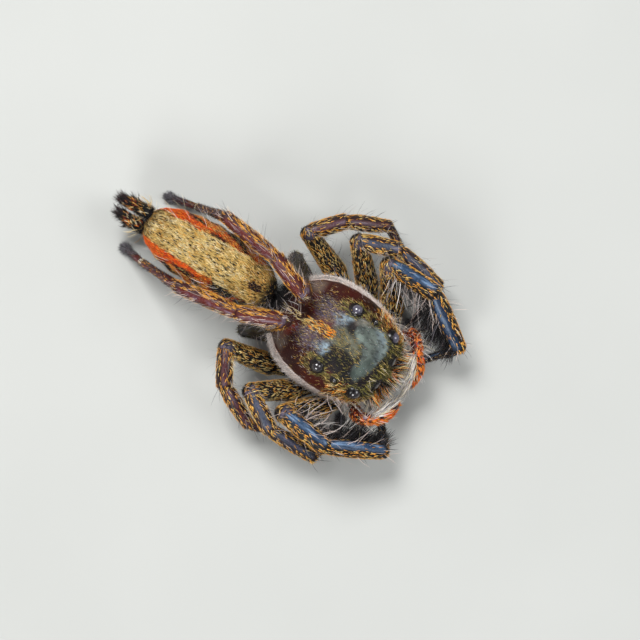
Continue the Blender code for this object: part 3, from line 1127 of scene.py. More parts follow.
SHELL = SkinFinish("carapace_cuticle", rough=0.50, gloss_gain=0.14, grain_per_mm=7, pits_per_mm=20,
    depth_mm=0.014, specular=0.24)
SOFT_SKIN = SkinFinish("abdomen_skin", rough=0.6, gloss_gain=0.1, grain_per_mm=6, depth_mm=0.02)
LIMB_SHELL = SkinFinish("leg_cuticle", rough=0.46, gloss_gain=0.26, grain_per_mm=11, depth_mm=0.010)
JAW_SHELL = SkinFinish("jaw_cuticle", rough=0.36, gloss_gain=0.16, grain_per_mm=9, depth_mm=0.006, coat=0.2)
FINE_HAIR = HairFinish("fine_hair")
SILKY_HAIR = HairFinish("silky_hair", rough=0.38, sheen=0.1, specular=0.5, variation=0.18)
DARK_HAIR = HairFinish("dark_brush_hair", rough=0.40, specular=0.22)
SCALE_HAIR = HairFinish("scale_hair", rough=0.42, sheen=0.06, specular=0.35, variation=0.3)


@dataclass(frozen=True)
class Eye:
    """One eye: its place on the left side, its size, where it looks, and its left and right tint, where a
    violet core is a painted reflection.
    """

    name: str
    centre: tuple[float, float, float]
    radius: float
    looks: tuple[float, float, float]
    cores: tuple[Paint, Paint]

    def place(self, side: Side) -> Array:
        """The lens's middle on one side."""
        return np.array((self.centre[0], self.centre[1] * side.value, self.centre[2]))

    def axis(self, side: Side) -> Array:
        """The way that the eye looks on one side."""
        return unit(np.array((self.looks[0], self.looks[1] * side.value, self.looks[2])))

    def lens(self, side: Side, place: Place, finish: LensFinish) -> bpy.types.Object:
        """Make the lens.

        Args:
            side: The animal's side.
            place: Where the animal lies in the row frame.
            finish: Its look.

        Returns:
            The lens as one object.
        """
        angles = np.radians(np.linspace(176, 4, 30))
        profile = [(self.radius * math.cos(a), self.radius * math.sin(a)) for a in angles]
        hide = turned_form(self.name, self.place(side), self.axis(side), profile, 48)
        name = f"{self.name}_{side.word}_lens"
        mesh, _ = solid_mesh(name, [hide], place)
        facing = ((hide.vertices().point - self.place(side)) @ self.axis(side)) / self.radius
        facing = np.append(facing, (-1.0, 1.0))
        tint = np.tile(Paint.JET.rgb, (len(facing), 1))
        # The core's tint over the black lens is a painted reflection where it is violet
        tint = tinted(tint, ease(0.10, 0.75, facing), self.cores[side is Side.RIGHT])
        write_tint(mesh, tint)
        mesh.materials.append(finish.material())
        made = piece(name, mesh)
        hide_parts(f"{self.name}_{side.word}")
        return made

    def rim(self, side: Side) -> Hide:
        """The dark raised rim that holds the lens.

        Args:
            side: The animal's side.

        Returns:
            Its skin.
        """
        r = self.radius
        profile = ((-0.9 * r, 1.25 * r), (-0.35 * r, 1.32 * r), (0.02 * r, 1.24 * r), (0.24 * r, 1.13 * r),
            (0.34 * r, 1.03 * r), (0.33 * r, 0.95 * r), (0.20 * r, 0.93 * r), (-0.2 * r, 0.8 * r))
        return turned_form(f"{self.name}_{side.word}_rim", self.place(side), self.axis(side), profile)


# The violet cores of the left front side eye and the left rear side eye are painted reflections
EYES = (
    Eye("eye_front_middle", (2.15, 0.56, 2.74), 0.46, (1.0, 0.10, 0.02),
        (Paint.SMOKE, Paint.SMOKE)),
    Eye("eye_front_side", (1.90, 1.40, 3.08), 0.27, (0.80, 0.45, 0.40),
        (Paint.LENS_REFLECTION, Paint.SMOKE)),
    Eye("eye_rear_middle", (0.92, 1.50, 3.52), 0.10, (0.10, 0.70, 0.70),
        (Paint.SMOKE, Paint.SMOKE)),
    Eye("eye_rear_side", (0.00, 1.43, 3.62), 0.25, (-0.20, 0.55, 0.80),
        (Paint.LENS_REFLECTION, Paint.SMOKE)),
)
LENSES = tuple((eye, side) for eye in EYES for side in Side)


def clear_of_eyes(points: Array) -> Array:
    """1 where hair may grow, 0 on the lenses and their rims.

    Args:
        points: Places on the skin.

    Returns:
        The mask.
    """
    free = np.ones(len(points))
    for eye, side in LENSES:
        free *= np.linalg.norm(points - eye.place(side), axis=1) > eye.radius + LENS_CLEARANCE
    return free


def round_eyes(points: Array, reach: float) -> Array:
    """1 in a ring round each eye, 0 farther off.

    Args:
        points: Places on the skin.
        reach: The ring's outer radius beyond the lens, in mm.

    Returns:
        The mask.
    """
    near = np.zeros(len(points))
    for eye, side in LENSES:
        away = np.linalg.norm(points - eye.place(side), axis=1) - eye.radius
        near = np.maximum(near, 1 - ease(reach * 0.5, reach, away))
    return near


@dataclass
class Head:
    """The carapace, with its eye field, its white edge and the hair of the face."""

    rows: int = 150
    dome: int = 104
    floor: int = 28
    face_bulge: float = 0.12
    edge_width: float = 0.165

    # Painted red-brown highlights on the mahogany: centre and radii, forward and left. Then the outline of
    # the golden middle
    RED_HIGHLIGHTS = (
        ((-1.62, 0.55), (0.42, 0.30)),
        ((-1.70, -0.80), (0.46, 0.34)),
        ((-1.66, 0.80), (0.6, 0.3)),
        ((-2.15, -1.10), (0.5, 0.25)),
    )
    GOLD_PATCH = (
        (-0.15, 0.26),
        (0.45, 0.46),
        (0.92, 0.44),
        (1.36, 0.02),
        (1.40, -0.42),
        (0.73, -0.60),
        (0.10, -0.34),
    )
    # Patches of the eye field, seen from above: paint, strength and outline, forward and left. The pale blue
    # ones and the pale horn one are painted highlights on the satin
    PATCHES = (
        (Paint.TEAL, 1.0, ((0.13, 1.22), (0.75, 1.36), (1.60, 1.36), (1.92, 1.05), (2.07, 0.60), (1.96, 0.05),
            (1.90, -0.45), (1.66, -1.04), (1.30, -0.92), (1.20, -0.60), (1.33, 0.00), (1.05, 0.25),
            (0.75, 0.36), (0.44, 0.63), (0.40, 0.95))),
        (Paint.DARK_TEAL, 0.75, ((1.60, 0.10), (1.95, 0.00), (1.66, -1.04), (1.30, -0.92), (1.25, -0.40))),
        (Paint.OLIVE_GREY, 0.9, ((-0.45, 0.40), (0.00, 0.60), (0.70, 0.42), (1.20, 0.10), (1.15, -0.35),
            (0.60, -0.25), (0.20, -0.30), (-0.40, -0.40), (-0.20, 0.00))),
        (Paint.PALE_HORN, 0.55, ((0.12, 0.98), (0.35, 1.26), (0.95, 1.42), (1.05, 1.28), (0.62, 1.10),
            (0.30, 0.88))),
        (Paint.PALE_BLUE, 0.8, ((-0.82, 0.80), (-0.50, 0.98), (-0.10, 1.08), (0.14, 1.08), (0.10, 0.86),
            (-0.05, 0.58), (-0.40, 0.46))),
        (Paint.PALE_BLUE, 0.9, ((-0.80, -0.74), (-0.54, -0.46), (-0.10, -0.36), (0.02, -0.62), (-0.12, -1.00),
            (-0.40, -0.90))),
        (Paint.PALE_BLUE, 0.6, ((1.10, 1.18), (1.35, 1.32), (1.62, 1.30), (1.80, 1.02), (1.70, 0.84),
            (1.45, 0.98))),
        (Paint.PALE_BLUE, 0.25, ((1.55, 0.80), (1.90, 0.90), (2.02, 0.45), (1.92, 0.00), (1.70, 0.20))),
        (Paint.JET, 0.95, ((-0.06, 0.84), (0.22, 1.00), (0.42, 0.66), (0.44, 0.40), (0.22, 0.44))),
        (Paint.JET, 0.95, ((-0.03, -0.80), (0.55, -0.42), (0.98, -0.30), (1.22, -0.66), (1.36, -1.10),
            (1.72, -1.22), (1.60, -1.42), (0.68, -1.16), (0.20, -1.10))),
    )

    def hide(self) -> Hide:
        """The carapace's skin.

        Returns:
            A closed dome, rounded at the face and behind.
        """
        stations = spline(CARAPACE_STATIONS, self.rows)
        x, half, margin, top = (column[:, None] for column in stations.T)
        half, top, margin = half - CARAPACE_COAT, top - CARAPACE_COAT * 0.6, margin + 0.02
        angle = np.linspace(0, math.pi, self.dome)[None]
        power = 2 / CARAPACE_SQUARENESS
        across = np.sign(np.cos(angle)) * np.abs(np.cos(angle)) ** power
        y = half * across
        z = margin + (top - margin) * np.sin(angle) ** power
        below = np.linspace(-1, 1, self.floor + 2)[None, 1:-1]
        lift = np.minimum(CARAPACE_UNDERSIDE_LIFT * (1 - below**2), (top - margin) * 0.4)
        y = np.concatenate((y, half * below), axis=1)
        z = np.concatenate((z, margin + lift), axis=1)
        rings = np.stack((np.broadcast_to(x, y.shape), y, z), axis=-1)
        closing = np.radians((18, 36, 54, 70, 82))
        ahead = [self.drawn_in(rings[-1], angle, self.face_bulge) for angle in closing]
        behind = [self.drawn_in(rings[0], angle, -0.06) for angle in closing[::-1]]
        rings = np.concatenate((behind, rings, ahead))
        turns = np.degrees(np.concatenate((angle[0], math.pi + (below[0] + 1) * 0.5 * math.pi)))
        shares = np.linspace(0, 1, len(rings))
        return Hide("carapace", self.sculpted(rings), shares, turns)

    @staticmethod
    def drawn_in(ring: Array, angle: float, bulge: float) -> Array:
        """A ring drawn towards its own middle and moved out, to close an end.

        Args:
            ring: The ring.
            angle: How far it is drawn in, in radians.
            bulge: How far the end stands out, in mm.

        Returns:
            The smaller ring.
        """
        middle = ring.mean(0)
        drawn = middle + (ring - middle) * math.cos(angle)
        drawn[:, 0] += bulge * math.sin(angle)
        return drawn

    def sculpted(self, rings: Array) -> Array:
        """Raise the skin round the eyes and sink the groove behind the eye field.

        Args:
            rings: The dome's rings.

        Returns:
            The rings with their relief.
        """
        shape = rings.shape
        out, _ = Hide("dome", rings, np.zeros(shape[0]), np.zeros(shape[1])).directions()
        points, out = rings.reshape(-1, 3), out.reshape(-1, 3)
        raised = np.zeros(len(points))
        for eye, side in LENSES:
            away = np.linalg.norm(points - eye.place(side), axis=1)
            raised += 0.30 * eye.radius * np.exp(-(away / (1.5 * eye.radius)) ** 2)
        groove = spot(points, (-0.62, 0.0), (0.42, 0.07)) * 0.06
        saddle = spot(points, (-0.75, 0.0), (0.7, 1.3)) * 0.07
        waist = spot(points, (0.85, 0.0), (1.2, 0.8)) * 0.05
        ripple = (mottle(points, 0.5, 31) - 0.5) * 0.02
        top = points[:, 2] > 2.4
        raised += np.where(top, ripple - groove - saddle - waist, 0)
        return (points + out * raised[:, None]).reshape(shape)

    def marks(self, sites: Sites) -> tuple[Array, Array]:
        """The carapace's markings: mahogany with painted red-brown highlights, a satin blue-grey eye field
        with painted pale highlights, and painted shade on the rear slope.

        Args:
            sites: Places on it.

        Returns:
            The tint and the gloss at each.
        """
        p = sites.point
        tint = plain(sites, Paint.DEEP_MAHOGANY)
        tint = tinted(tint, mottle(p, 1.1, 3) * ease(1.7, 2.8, p[:, 2]), Paint.MAHOGANY)
        # Painted highlights: red-brown glints laid over the mahogany
        for centre, radii in self.RED_HIGHLIGHTS:
            tint = tinted(tint, 0.75 * spot(p, centre, radii) * ease(0.2, 0.7, mottle(p, 0.4, 6)),
                Paint.RED_BROWN)
        tint = tinted(tint, 0.38 * self.horn(p), Paint.PALE_HORN)
        flank = np.maximum(spot(p, (-1.05, 0.72), (0.62, 0.44)), spot(p, (-1.05, -0.60), (0.60, 0.40)))
        tint = tinted(tint, 0.75 * flank, Paint.LAVENDER_BROWN)
        tint = tinted(tint, self.field(p) * 0.9, Paint.JET)
        satin = np.zeros(len(p))
        # The pale blue and pale horn patches among these are painted highlights on the satin
        for paint, strength, corners in self.PATCHES:
            mask = outlined(p, corners, 0.09) * (p[:, 2] > 2.7)
            pits = ease(0.76, 0.86, mottle(p, 0.07, 9))
            blotch = 0.72 + 0.28 * ease(0.25, 0.7, mottle(p, 0.22, 7)) - 0.5 * pits
            tint = tinted(tint, mask * strength * blotch, paint)
            satin = satin * (1 - mask) if paint is Paint.JET else np.maximum(satin, mask)
        tint = tinted(tint, 0.95 * round_eyes(p, 0.17) * (p[:, 0] > -0.6), Paint.JET)
        # Painted shadow: the rear slope down to the waist is painted black, where shade falls between
        # carapace and abdomen
        tint = tinted(tint, 0.9 * (1 - ease(-2.75, -2.25, p[:, 0])) * (p[:, 2] > 1.9), Paint.JET)
        tint = tinted(tint, 0.95 * self.edge(p), Paint.PINK_WHITE)
        shade = 1 - 0.9 * (mottle(p, 0.30, 5) - 0.5) * self.field(p)
        gloss = 0.75 - 0.75 * flank - 0.6 * self.field(p) * (1 - satin)
        return tint * shade[:, None], np.clip(gloss, 0, 1)

    def horn(self, points: Array) -> Array:
        """1 on the dull pale patch above each end of the white edge."""
        level = self.margin_share(points)
        return within(points[:, 0], -2.30, -1.66, 0.16) * within(level, 0.62, 0.90, 0.07)

    @staticmethod
    def field(points: Array) -> Array:
        """1 in the area between the eyes."""
        wide = 1.30 - 0.04 * np.abs(points[:, 0] - 0.9)
        return (within(points[:, 0], -0.35, 2.4, 0.25) * (1 - ease(0.95, 1.08, np.abs(points[:, 1]) / wide))
            * (points[:, 2] > 2.8))

    @staticmethod
    def station(points: Array, column: int) -> Array:
        """One size of the carapace, as its stations have it, abreast of each place."""
        stations = np.array(CARAPACE_STATIONS)
        return np.interp(points[:, 0], stations[:, 0], stations[:, column])

    @staticmethod
    def margin_share(points: Array) -> Array:
        """How far up the carapace's side a place is: 0 at its margin, 1 at the top."""
        margin, top = Head.station(points, 2), Head.station(points, 3)
        return (points[:, 2] - margin) / np.maximum(top - margin, 0.2)

    def edge(self, points: Array) -> Array:
        """1 in the white band along the carapace's margin.

        Args:
            points: Places on the skin.

        Returns:
            The mask.
        """
        inset = self.station(points, 1) - np.abs(points[:, 1])
        width = CARAPACE_COAT + self.edge_width - 0.10 * ease(-0.9, 1.3, points[:, 0])
        length = within(points[:, 0], -2.80, 1.55, 0.2)
        level = self.margin_share(points)
        return (level > 0.02) * (level < 0.75) * (1 - ease(0.94, 1.04, inset / width)) * length

    def smooth_satin(self, points: Array) -> Array:
        """1 where the eye field is bare and satin.

        Args:
            points: Places on the skin.

        Returns:
            The mask.
        """
        bare = np.zeros(len(points))
        for paint, _, corners in self.PATCHES:
            mask = outlined(points, corners)
            bare = bare * (1 - mask) if paint is Paint.JET else np.maximum(bare, mask)
        return bare

    def coat(self, hide: Hide) -> list[Coat]:
        """Grow the hair of the carapace and the face.

        Args:
            hide: The carapace's skin.

        Returns:
            The coats.
        """
        def back(sites: Sites) -> Array:
            """Towards the rear."""
            return sites.facing(BACKWARD)

        def ahead(sites: Sites) -> Array:
            """Towards the front."""
            return -back(sites)

        def outward(sites: Sites) -> Array:
            """Out from the margin, a little back and up."""
            return np.stack((sites.level(-0.55), np.sign(sites.point[:, 1]), sites.level(0.25)), axis=1)

        def forward_down(sites: Sites) -> Array:
            """Forward and down over the jaws."""
            return np.stack((sites.level(1.0), 0.35 * sites.point[:, 1], sites.level(-0.45)), axis=1)

        def free(mask: Callable[[Array], Array]) -> Field:
            """A mask of places, kept off the eyes."""
            return lambda sites: mask(sites.point) * clear_of_eyes(sites.point)

        def streak(p: Array) -> Array:
            """1 on the line down the middle of the back.

            Args:
                p: Places on it.

            Returns:
                The mask.
            """
            width = 0.10 + 0.14 * ease(-2.1, -0.9, p[:, 0])
            middle = -0.12 * ease(0.0, -2.0, p[:, 0])
            beside = ease(0.8, 1.2, np.abs(p[:, 1] - middle) / width)
            return within(p[:, 0], -2.35, -0.10, 0.15) * (1 - beside)

        def front_streak(p: Array) -> Array:
            """1 on its gold front end."""
            return streak(p) * ease(-1.6, -0.9, p[:, 0])

        def rear_streak(p: Array) -> Array:
            """1 on its pale rear end."""
            return streak(p) * (1 - ease(-1.5, -0.7, p[:, 0]))

        def beside_field(p: Array) -> Array:
            """1 in blotches beside the eye field."""
            side = within(np.abs(p[:, 1]), 1.30, 1.85, 0.2) * within(p[:, 0], -1.4, 1.0, 0.3)
            return side * ease(0.35, 0.7, mottle(p, 0.35, 37))

        def flank(p: Array) -> Array:
            """1 on the two lavender flanks."""
            return np.maximum(spot(p, (-1.00, 0.84), (0.84, 0.56)), spot(p, (-1.00, -0.72), (0.80, 0.54)))

        def mid_gold(p: Array) -> Array:
            """1 in blotches of the golden middle."""
            return outlined(p, self.GOLD_PATCH, 0.30) * ease(0.2, 0.6, mottle(p, 0.25, 43))

        def olive_rim(p: Array) -> Array:
            """1 round the eye field and round each eye.

            Args:
                p: Places on it.

            Returns:
                The mask.
            """
            side = within(np.abs(p[:, 1]), 1.36, 1.72, 0.09) * within(p[:, 0], -0.55, 2.1, 0.2)
            behind = spot(p, (-0.42, 1.32), (0.36, 0.22), 20) + spot(p, (-0.38, -1.30), (0.30, 0.20), -20)
            around = 0.95 * round_eyes(p, 0.26)
            return np.clip(np.maximum(np.maximum(side, behind), around), 0, 1) * (p[:, 2] > 2.6)

        def brow(p: Array) -> Array:
            """1 over the front eyes.

            Args:
                p: Places on it.

            Returns:
                The mask.
            """
            lens = within(np.abs(p[:, 1]), 0.16, 0.98, 0.06) * (p[:, 0] > 2.10)
            front = within(p[:, 0], 2.05, 2.8, 0.08) * (p[:, 2] > 2.70)
            return front * (np.abs(p[:, 1]) < 1.75) * (1 - 0.96 * lens)

        def face(p: Array) -> Array:
            """1 below the front eyes."""
            beside = ease(0.9, 1.3, np.abs(p[:, 1]))
            return (p[:, 0] > 2.0) * (p[:, 2] < 2.72) * (p[:, 2] > 1.85) * (1 - beside)

        def cheeks(p: Array) -> Array:
            """1 on the sides of the face."""
            level = self.margin_share(p)
            return within(p[:, 0], 0.9, 2.5, 0.15) * within(level, 0.02, 0.80, 0.08) * (np.abs(p[:, 1]) > 1.1)

        def shield(p: Array) -> Array:
            """1 on the upper side outside the eye field."""
            return (self.margin_share(p) > 0.30) * (1 - self.field(p)) * within(p[:, 0], -2.6, 2.0, 0.2)

        def furred(p: Array) -> Array:
            """1 in the eye field where it isn't bare."""
            return self.field(p) * (1 - self.smooth_satin(p))

        edge = Coat("coat_carapace_edge", "carapace_shell", SILKY_HAIR, [hide], SEED + 1)
        edge.grow(
            Layer("white pink_white silver", 1700, (0.11, 0.19), 0.026, 26, 12, 22, 1,
                where=lambda s: self.edge(s.point), flow=outward, root=0.75),
            Layer("white pink_white", 260, (0.14, 0.24), 0.022, 38, 12, 24, 2,
                where=lambda s: self.edge(s.point), flow=outward, root=0.7),
            Layer("white silver", 36, (0.28, 0.52), 0.019, 40, 16, 14, 3,
                where=lambda s: self.edge(s.point) * (self.margin_share(s.point) < 0.45), flow=outward,
                root=0.8),
        )

        shell = Coat("coat_carapace", "carapace_shell", FINE_HAIR, [hide], SEED + 2, back)
        shell.grow(
            Layer("smoke tan jet", 190, (0.14, 0.22), 0.022, 10, 6, 14, 1, where=free(streak)),
            Layer("gold orange gold straw", 135, (0.16, 0.27), 0.034, 13, 8, 12,
                where=free(front_streak), above=0.02, root=0.85),
            Layer("cream pale_straw straw", 105, (0.18, 0.28), 0.028, 15, 8, 16,
                where=free(rear_streak), above=0.02, root=0.85),
            Layer("cream white silver", 26, (0.55, 0.95), 0.020, 24, 4, 20, 4,
                where=free(lambda p: spot(p, (-2.05, 0.02), (0.36, 0.26))), wave=10, root=0.8),
            Layer("lavender_brown smoke lavender tan", 620, (0.13, 0.22), 0.022, 11, 7, 20,
                where=free(flank)),
            Layer("silver straw cream", 34, (0.14, 0.24), 0.022, 14, 8, 20, where=free(flank), root=0.8),
            Layer("tan amber smoke red_brown", 60, (0.12, 0.20), 0.016, 9, 7, 26, 1, where=free(shield)),
            Layer("straw silver", 10, (0.16, 0.26), 0.020, 12, 8, 24, where=free(shield), root=0.8),
            Layer("straw amber tan", 60, (0.15, 0.25), 0.020, 13, 8, 22, where=free(beside_field), root=0.8),
            # Black hair on the rear slope stands for the shade between carapace and abdomen
            Layer("jet smoke jet", 260, (0.25, 0.50), 0.026, 34, 6, 22,
                where=lambda s: (1 - ease(-2.85, -2.50, s.point[:, 0])) * (s.point[:, 2] > 1.7)),
            Layer("smoke silver", 1.6, (0.4, 0.7), 0.018, 48, 16, 20, 3, where=free(shield)),
        )

        head = Coat("coat_eye_field", "carapace_shell", SCALE_HAIR, [hide], SEED + 3, back)
        head.grow(
            Layer("olive smoke tan smoke", 170, (0.16, 0.26), 0.017, 12, 7, 18, where=free(mid_gold)),
            Layer("olive_gold straw tan", 120, (0.16, 0.28), 0.018, 14, 8, 18,
                where=free(mid_gold), root=0.7),
            Layer("jet smoke jet", 420, (0.12, 0.20), 0.020, 12, 7, 18, 1, where=free(furred)),
            Layer("olive olive_gold tan", 60, (0.14, 0.24), 0.020, 14, 8, 22, where=free(furred), root=0.8),
            # Pale blue hair over the satin carries on its painted highlight
            Layer("pale_blue silver smoke jet", 330, (0.14, 0.24), 0.018, 11, 7, 16, 1,
                where=free(lambda p: self.smooth_satin(p) * (1 - ease(-0.1, 0.3, p[:, 0])) * (p[:, 2] > 2.8)),
                root=0.9),
            Layer("pale_blue olive_grey smoke silver", 230, (0.10, 0.17), 0.014, 9, 6, 14, 1,
                where=free(lambda p: self.smooth_satin(p) * (0.25 + mottle(p, 0.35, 53)) * (p[:, 2] > 2.8)),
                root=0.8),
            Layer("olive olive_gold jet", 620, (0.12, 0.22), 0.020, 20, 12, 24, 1, where=free(olive_rim)),
            Layer("olive_gold straw olive_gold olive", 110, (0.17, 0.30), 0.026, 20, 12, 26,
                where=free(olive_rim), root=0.75),
        )

        brows = Coat("coat_face", "carapace_shell", FINE_HAIR, [hide], SEED + 4)
        brows.grow(
            Layer("olive jet smoke", 520, (0.22, 0.40), 0.024, 44, 30, 24, 2, where=free(brow), flow=ahead),
            Layer("olive_gold olive straw", 240, (0.22, 0.38), 0.020, 40, 28, 24, 3,
                where=free(brow), flow=ahead, root=0.7),
            Layer("silver cream", 24, (0.36, 0.56), 0.018, 56, 20, 24, 3,
                where=free(brow), flow=ahead, root=0.8),
            Layer("jet smoke", 460, (0.50, 0.95), 0.034, 50, 14, 24, 3, where=free(face), flow=forward_down),
            Layer("orange gold orange pale_straw", 260, (0.45, 0.92), 0.036, 54, 16, 24, 3,
                where=free(face), flow=forward_down, wave=10, above=0.09, root=1.0),
            Layer("white pink_white cream", 220, (0.85, 1.25), 0.022, 54, 10, 26, 5,
                where=free(face), flow=forward_down, wave=14, root=0.8),
            Layer("jet smoke rust", 260, (0.18, 0.30), 0.024, 22, 12, 24, 2, where=free(cheeks), flow=back),
            Layer("gold cream orange straw", 120, (0.22, 0.38), 0.032, 28, 12, 26, 2,
                where=free(cheeks), flow=back, root=0.85),
            Layer("white pink_white", 30, (0.5, 1.0), 0.020, 50, 30, 24, 5,
                where=lambda s: cheeks(s.point) * (1 - round_eyes(s.point, 0.5)) * (s.point[:, 2] < 2.7),
                flow=ahead, wave=20, root=0.85),
        )
        return [edge, shell, head, brows]


@dataclass
class Abdomen:
    """The long abdomen, straw on its back, flame and black along its sides, and its spinnerets."""

    rows: int = 120
    around: int = 96

    SPINNERETS = (
        ("spinneret_upper_left", (-9.80, 0.26, 2.12), (-10.62, 0.24, 2.06), 0.27),
        ("spinneret_upper_right", (-9.78, -0.36, 1.88), (-10.46, -0.32, 1.62), 0.25),
        ("spinneret_lower_left", (-9.72, 0.38, 1.36), (-10.26, 0.42, 1.14), 0.22),
        ("spinneret_lower_right", (-9.68, -0.36, 1.30), (-10.08, -0.44, 0.88), 0.22),
    )
    SPINNERET_TAPER = (0.80, 0.92, 0.95, 0.90, 0.74, 0.78, 0.62)
    SPINNERET_SUNK = 0.34

    @staticmethod
    def turn() -> Matrix:
        """The small sideways turn of the abdomen about the waist.

        Returns:
            The turn as a matrix.
        """
        hinge = Vector(PEDICEL[1])
        turn = Matrix.Rotation(math.radians(ABDOMEN_TURN_DEG), 4, "Z")
        return Matrix.Translation(hinge) @ turn @ Matrix.Translation(-hinge)

    @staticmethod
    def share(points: Array) -> Array:
        """How far back along the abdomen a place is, from 0 to 1."""
        return (ABDOMEN_FRONT - points[:, 0]) / (ABDOMEN_FRONT - ABDOMEN_REAR)

    def hide(self) -> Hide:
        """The abdomen's skin.

        Returns:
            A long oval with faint folds across it.
        """
        way = -np.cos(np.linspace(0.045, math.pi - 0.045, self.rows))[:, None]
        x = (ABDOMEN_FRONT + ABDOMEN_REAR) / 2 + (ABDOMEN_REAR - ABDOMEN_FRONT) / 2 * way
        swell = (1 - np.abs(way) ** ABDOMEN_SQUARENESS) ** (1 / ABDOMEN_SQUARENESS)
        turns = np.arange(self.around) * 360 / self.around
        angle = np.radians(turns)[None]
        y = (ABDOMEN_HALF_WIDTH - ABDOMEN_COAT) * swell * np.cos(angle)
        z = ABDOMEN_MIDDLE_HEIGHT + (ABDOMEN_HALF_HEIGHT - ABDOMEN_COAT) * swell * np.sin(angle)
        rings = np.stack((np.broadcast_to(x, y.shape), y, z), axis=-1)
        fold = 0.018 * np.sin(x * 7.5 + 0.8 * np.cos(2 * angle)) * swell
        out, _ = Hide("oval", rings, np.zeros(self.rows), turns).directions()
        rings = rings + out * (fold + 0.03 * (mottle(rings, 0.7, 11) - 0.5))[..., None]
        return Hide("abdomen", rings, np.linspace(0, 1, self.rows), turns).carried(self.turn())

    def band(self, sites: Sites) -> Array:
        """1 on the straw band of the back.

        Args:
            sites: Places on it.

        Returns:
            The mask.
        """
        p = sites.local
        share = self.share(p)
        half = 0.80 - 0.10 * ease(0.45, 1.0, share) + 0.06 * (mottle(p, 0.35, 17) - 0.5)
        return (1 - ease(0.94, 1.06, np.abs(p[:, 1]) / half)) * (p[:, 2] > 2.0) * ease(0.04, 0.10, share)

    def rim(self, sites: Sites) -> Array:
        """1 on the flame edge of the band.

        Args:
            sites: Places on it.

        Returns:
            The mask.
        """
        p = sites.local
        share = self.share(p)
        reach = 0.96 + 0.20 * ease(0.45, 0.9, share) + 0.10 * (mottle(p, 0.5, 19) - 0.5)
        beside = (1 - ease(0.92, 1.05, np.abs(p[:, 1]) / reach)) * (p[:, 2] > 1.6)
        behind = ease(0.93, 0.97, share) * (p[:, 2] > 1.5)
        ragged = ease(0.34, 0.74, share + 0.34 * (mottle(p * (0.45, 1.3, 1.3), 0.30, 21) - 0.5))
        return np.maximum(beside * ragged, behind) * (1 - self.band(sites))

    def blaze(self, sites: Sites) -> Array:
        """1 in the orange patches of the sides.

        Args:
            sites: Places on it.

        Returns:
            The mask.
        """
        p = sites.local
        wave = 0.5 + 0.5 * np.sin(p[:, 2] * math.tau / 0.85 + 0.6 * p[:, 0])
        patch = ease(0.44, 0.62, 0.34 * wave + 0.66 * mottle(p * (0.40, 1.2, 1.2), 0.30, 23))
        back_from_waist = ease(0.08, 0.16, self.share(p))
        beside = (1 - self.band(sites)) * (1 - self.rim(sites))
        return patch * within(p[:, 2], 1.35, 3.2, 0.2) * beside * back_from_waist

    def marks(self, sites: Sites) -> tuple[Array, Array]:
        """The abdomen's markings.

        Args:
            sites: Places on it.

        Returns:
            The tint and the gloss at each.
        """
        p = sites.local
        tint = tinted(plain(sites, Paint.JET), 0.7 * (1 - ease(0.9, 1.5, p[:, 2])), Paint.SMOKE)
        tint = tinted(tint, 0.8 * self.blaze(sites), Paint.RUST)
        tint = tinted(tint, 0.9 * self.rim(sites), Paint.RUST)
        tint = tinted(tint, 0.9 * self.band(sites), Paint.TAN)
        tint = tinted(tint, 0.8 * self.band(sites) * ease(0.45, 0.75, self.grain(sites)), Paint.BRASS)
        tint = tinted(tint, 0.5 * self.band(sites) * self.ends(p), Paint.BRASS)
        return tint, sites.level(0.3)

    def coat(self, hide: Hide) -> list[Coat]:
        """Grow the abdomen's hair.

        Args:
            hide: Its skin.

        Returns:
            The coats.
        """
        back = Coat("coat_abdomen_back", "abdomen_coat", FINE_HAIR, [hide], SEED + 11)
        back.grow(
            Layer("straw tan straw straw brass", 1500, (0.16, 0.26), 0.024, 9, 5, 9, 1,
                where=self.band, root=0.6),
            Layer("straw pale_straw straw gold", 560, (0.18, 0.28), 0.024, 11, 7, 9,
                where=self.band, root=0.7),
            Layer("pale_straw cream", 300, (0.14, 0.24), 0.024, 12, 7, 14,
                where=lambda s: self.band(s) * ease(0.35, 0.75, self.grain(s)) * (1 - self.ends(s.local)),
                above=0.02, root=0.8),
            Layer("brass amber tan", 420, (0.15, 0.25), 0.024, 12, 7, 12, 1,
                where=lambda s: self.band(s) * self.ends(s.local), above=0.03, root=0.7),
            Layer("jet smoke jet", 34, (0.12, 0.22), 0.028, 9, 6, 7, where=self.band, above=0.06, root=1.0),
            Layer("plum violet_brown smoke", 900, (0.12, 0.18), 0.024, 9, 6, 12, 1, above=0.07,
                where=lambda s: spot(s.point, (-4.03, -0.19), (0.36, 0.20), 20) * ease(0.2, 0.5,
                mottle(s.local, 0.2, 45))),
        )

